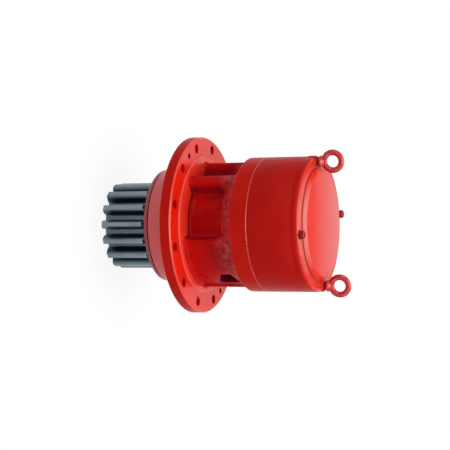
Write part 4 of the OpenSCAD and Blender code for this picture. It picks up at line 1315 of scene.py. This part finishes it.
@dataclass
class Studio:
    """Floor, lamps, world and camera, in metres."""

    floor_level: float = -0.196
    floor_r: float = 5.0
    white_from: float = 0.05
    white_to: float = 0.28
    white_least: float = 0.88
    paper: str = "#7d7d7d"
    paper_seen: str = "#fafafa"
    turn_deg: float = 269.652
    rise_deg: float = 21.718
    roll_deg: float = 0.415
    distance: float = 3.6
    target: Point = (0.0, 0.0, 0.0758)
    lens_mm: float = 123.73
    sensor_mm: float = 36.0
    frame_px: float = 450.0
    off_centre_px: float = 0.22
    sky: float = 0.12

    def build(self) -> None:
        """Sets up the whole studio."""
        self.floor()
        self.world()
        self.lamps()
        self.camera()

    def floor(self) -> None:
        """Lays a pale floor that turns to plain white away from the gearbox.

        It is grey for soft light, so that little comes back on the red from below, and white to the eye.
        """
        floor = primitive("studio_floor", bpy.ops.mesh.primitive_circle_add, vertices=96,
                          radius=self.floor_r, fill_type="NGON", location=(0.0, 0.0, self.floor_level))
        work = ShaderWork(bpy.data.materials.new("studio_white_paper"))
        seen = work.seen()
        soft = work.add("ShaderNodeBsdfDiffuse", {
            "Color": work.coats(linear(self.paper), (seen, self.paper_seen))})
        white = work.add("ShaderNodeEmission", {"Color": WHITE})
        away, _ = work.from_axis()
        share = work.add("ShaderNodeMapRange", {
            "Value": away, "From Min": self.white_from, "From Max": self.white_to,
            "To Min": self.white_least})
        bright = work.add("ShaderNodeMath", {0: share, 1: seen}, operation="MULTIPLY")
        dress(floor, work.finish(work.add("ShaderNodeMixShader", {0: bright, 1: soft, 2: white})))

    def world(self) -> None:
        """Surrounds the set with a dim sky that looks white."""
        world = bpy.data.worlds.new("studio_sky")
        bpy.context.scene.world = world
        work = ShaderWork(world)
        strength = work.add("ShaderNodeMapRange", {"Value": work.seen(), "To Min": self.sky})
        sky = work.add("ShaderNodeBackground", {"Color": WHITE, "Strength": strength})
        work.add("ShaderNodeOutputWorld", {"Surface": sky})

    def lamps(self) -> None:
        """Hangs the ceiling softbox, a lamp on each side of the camera and a fill behind."""
        for name, turn_deg, rise_deg, distance, width, height, watts in (
                ("ceiling_softbox", 270.0, 81.0, 2.0, 1.6, 1.5, 43.0),
                ("left_lamp", 215.0, 12.0, 2.6, 1.6, 1.4, 16.5),
                ("right_lamp", 325.0, 12.0, 2.6, 1.6, 1.4, 18.0),
                ("back_fill", 90.0, 58.0, 2.6, 1.6, 1.2, 12.0)):
            data = bpy.data.lights.new(name, "AREA")
            data.shape = "RECTANGLE"
            data.size, data.size_y = width, height
            data.energy = watts
            lamp = link(name, data)
            turn, rise = math.radians(turn_deg), math.radians(rise_deg)
            away = Vector((math.cos(turn) * math.cos(rise), math.sin(turn) * math.cos(rise), math.sin(rise)))
            lamp.location = Vector(self.target) + away * distance
            lamp.rotation_euler = away.to_track_quat("Z", "Y").to_euler()

    def camera(self) -> None:
        """Stands the camera where the photograph was taken from, a quarter turned so that Z runs right."""
        turn, rise, roll = (math.radians(a) for a in (self.turn_deg, self.rise_deg, self.roll_deg))
        out = Vector((math.cos(turn), math.sin(turn), 0.0))
        back = out * math.cos(rise) + Vector((0.0, 0.0, math.sin(rise)))
        right = Vector((0.0, 0.0, math.cos(rise))) - out * math.sin(rise)
        up = Vector((math.sin(turn), -math.cos(turn), 0.0))
        right_turned = right * math.cos(roll) - up * math.sin(roll)
        up_turned = up * math.cos(roll) + right * math.sin(roll)
        data = bpy.data.cameras.new("photo_camera")
        data.lens = self.lens_mm
        data.sensor_width = self.sensor_mm
        data.shift_y = -self.off_centre_px / self.frame_px
        camera = link("photo_camera", data)
        place = Matrix((right_turned, up_turned, back)).transposed().to_4x4()
        place.translation = Vector(self.target) + back * self.distance
        camera.matrix_world = place
        bpy.context.scene.camera = camera


def main() -> None:
    """Builds the gearbox's looks, sub-assembly by sub-assembly."""
    logging.basicConfig(level=logging.INFO, format="%(name)s: %(message)s")
    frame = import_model()
    bpy.context.scene.view_settings.view_transform = "Standard"
    shop = Workshop(frame, Finishes())
    for kind in (GearTrain, HousingCasting, JackingThreads, Drum, CapScrews, LiftingTackle, PinionEnd):
        kind(shop).build()
    Studio().build()
    log.info("%d pieces made", len(shop.made))


if __name__ == "__main__":
    main()
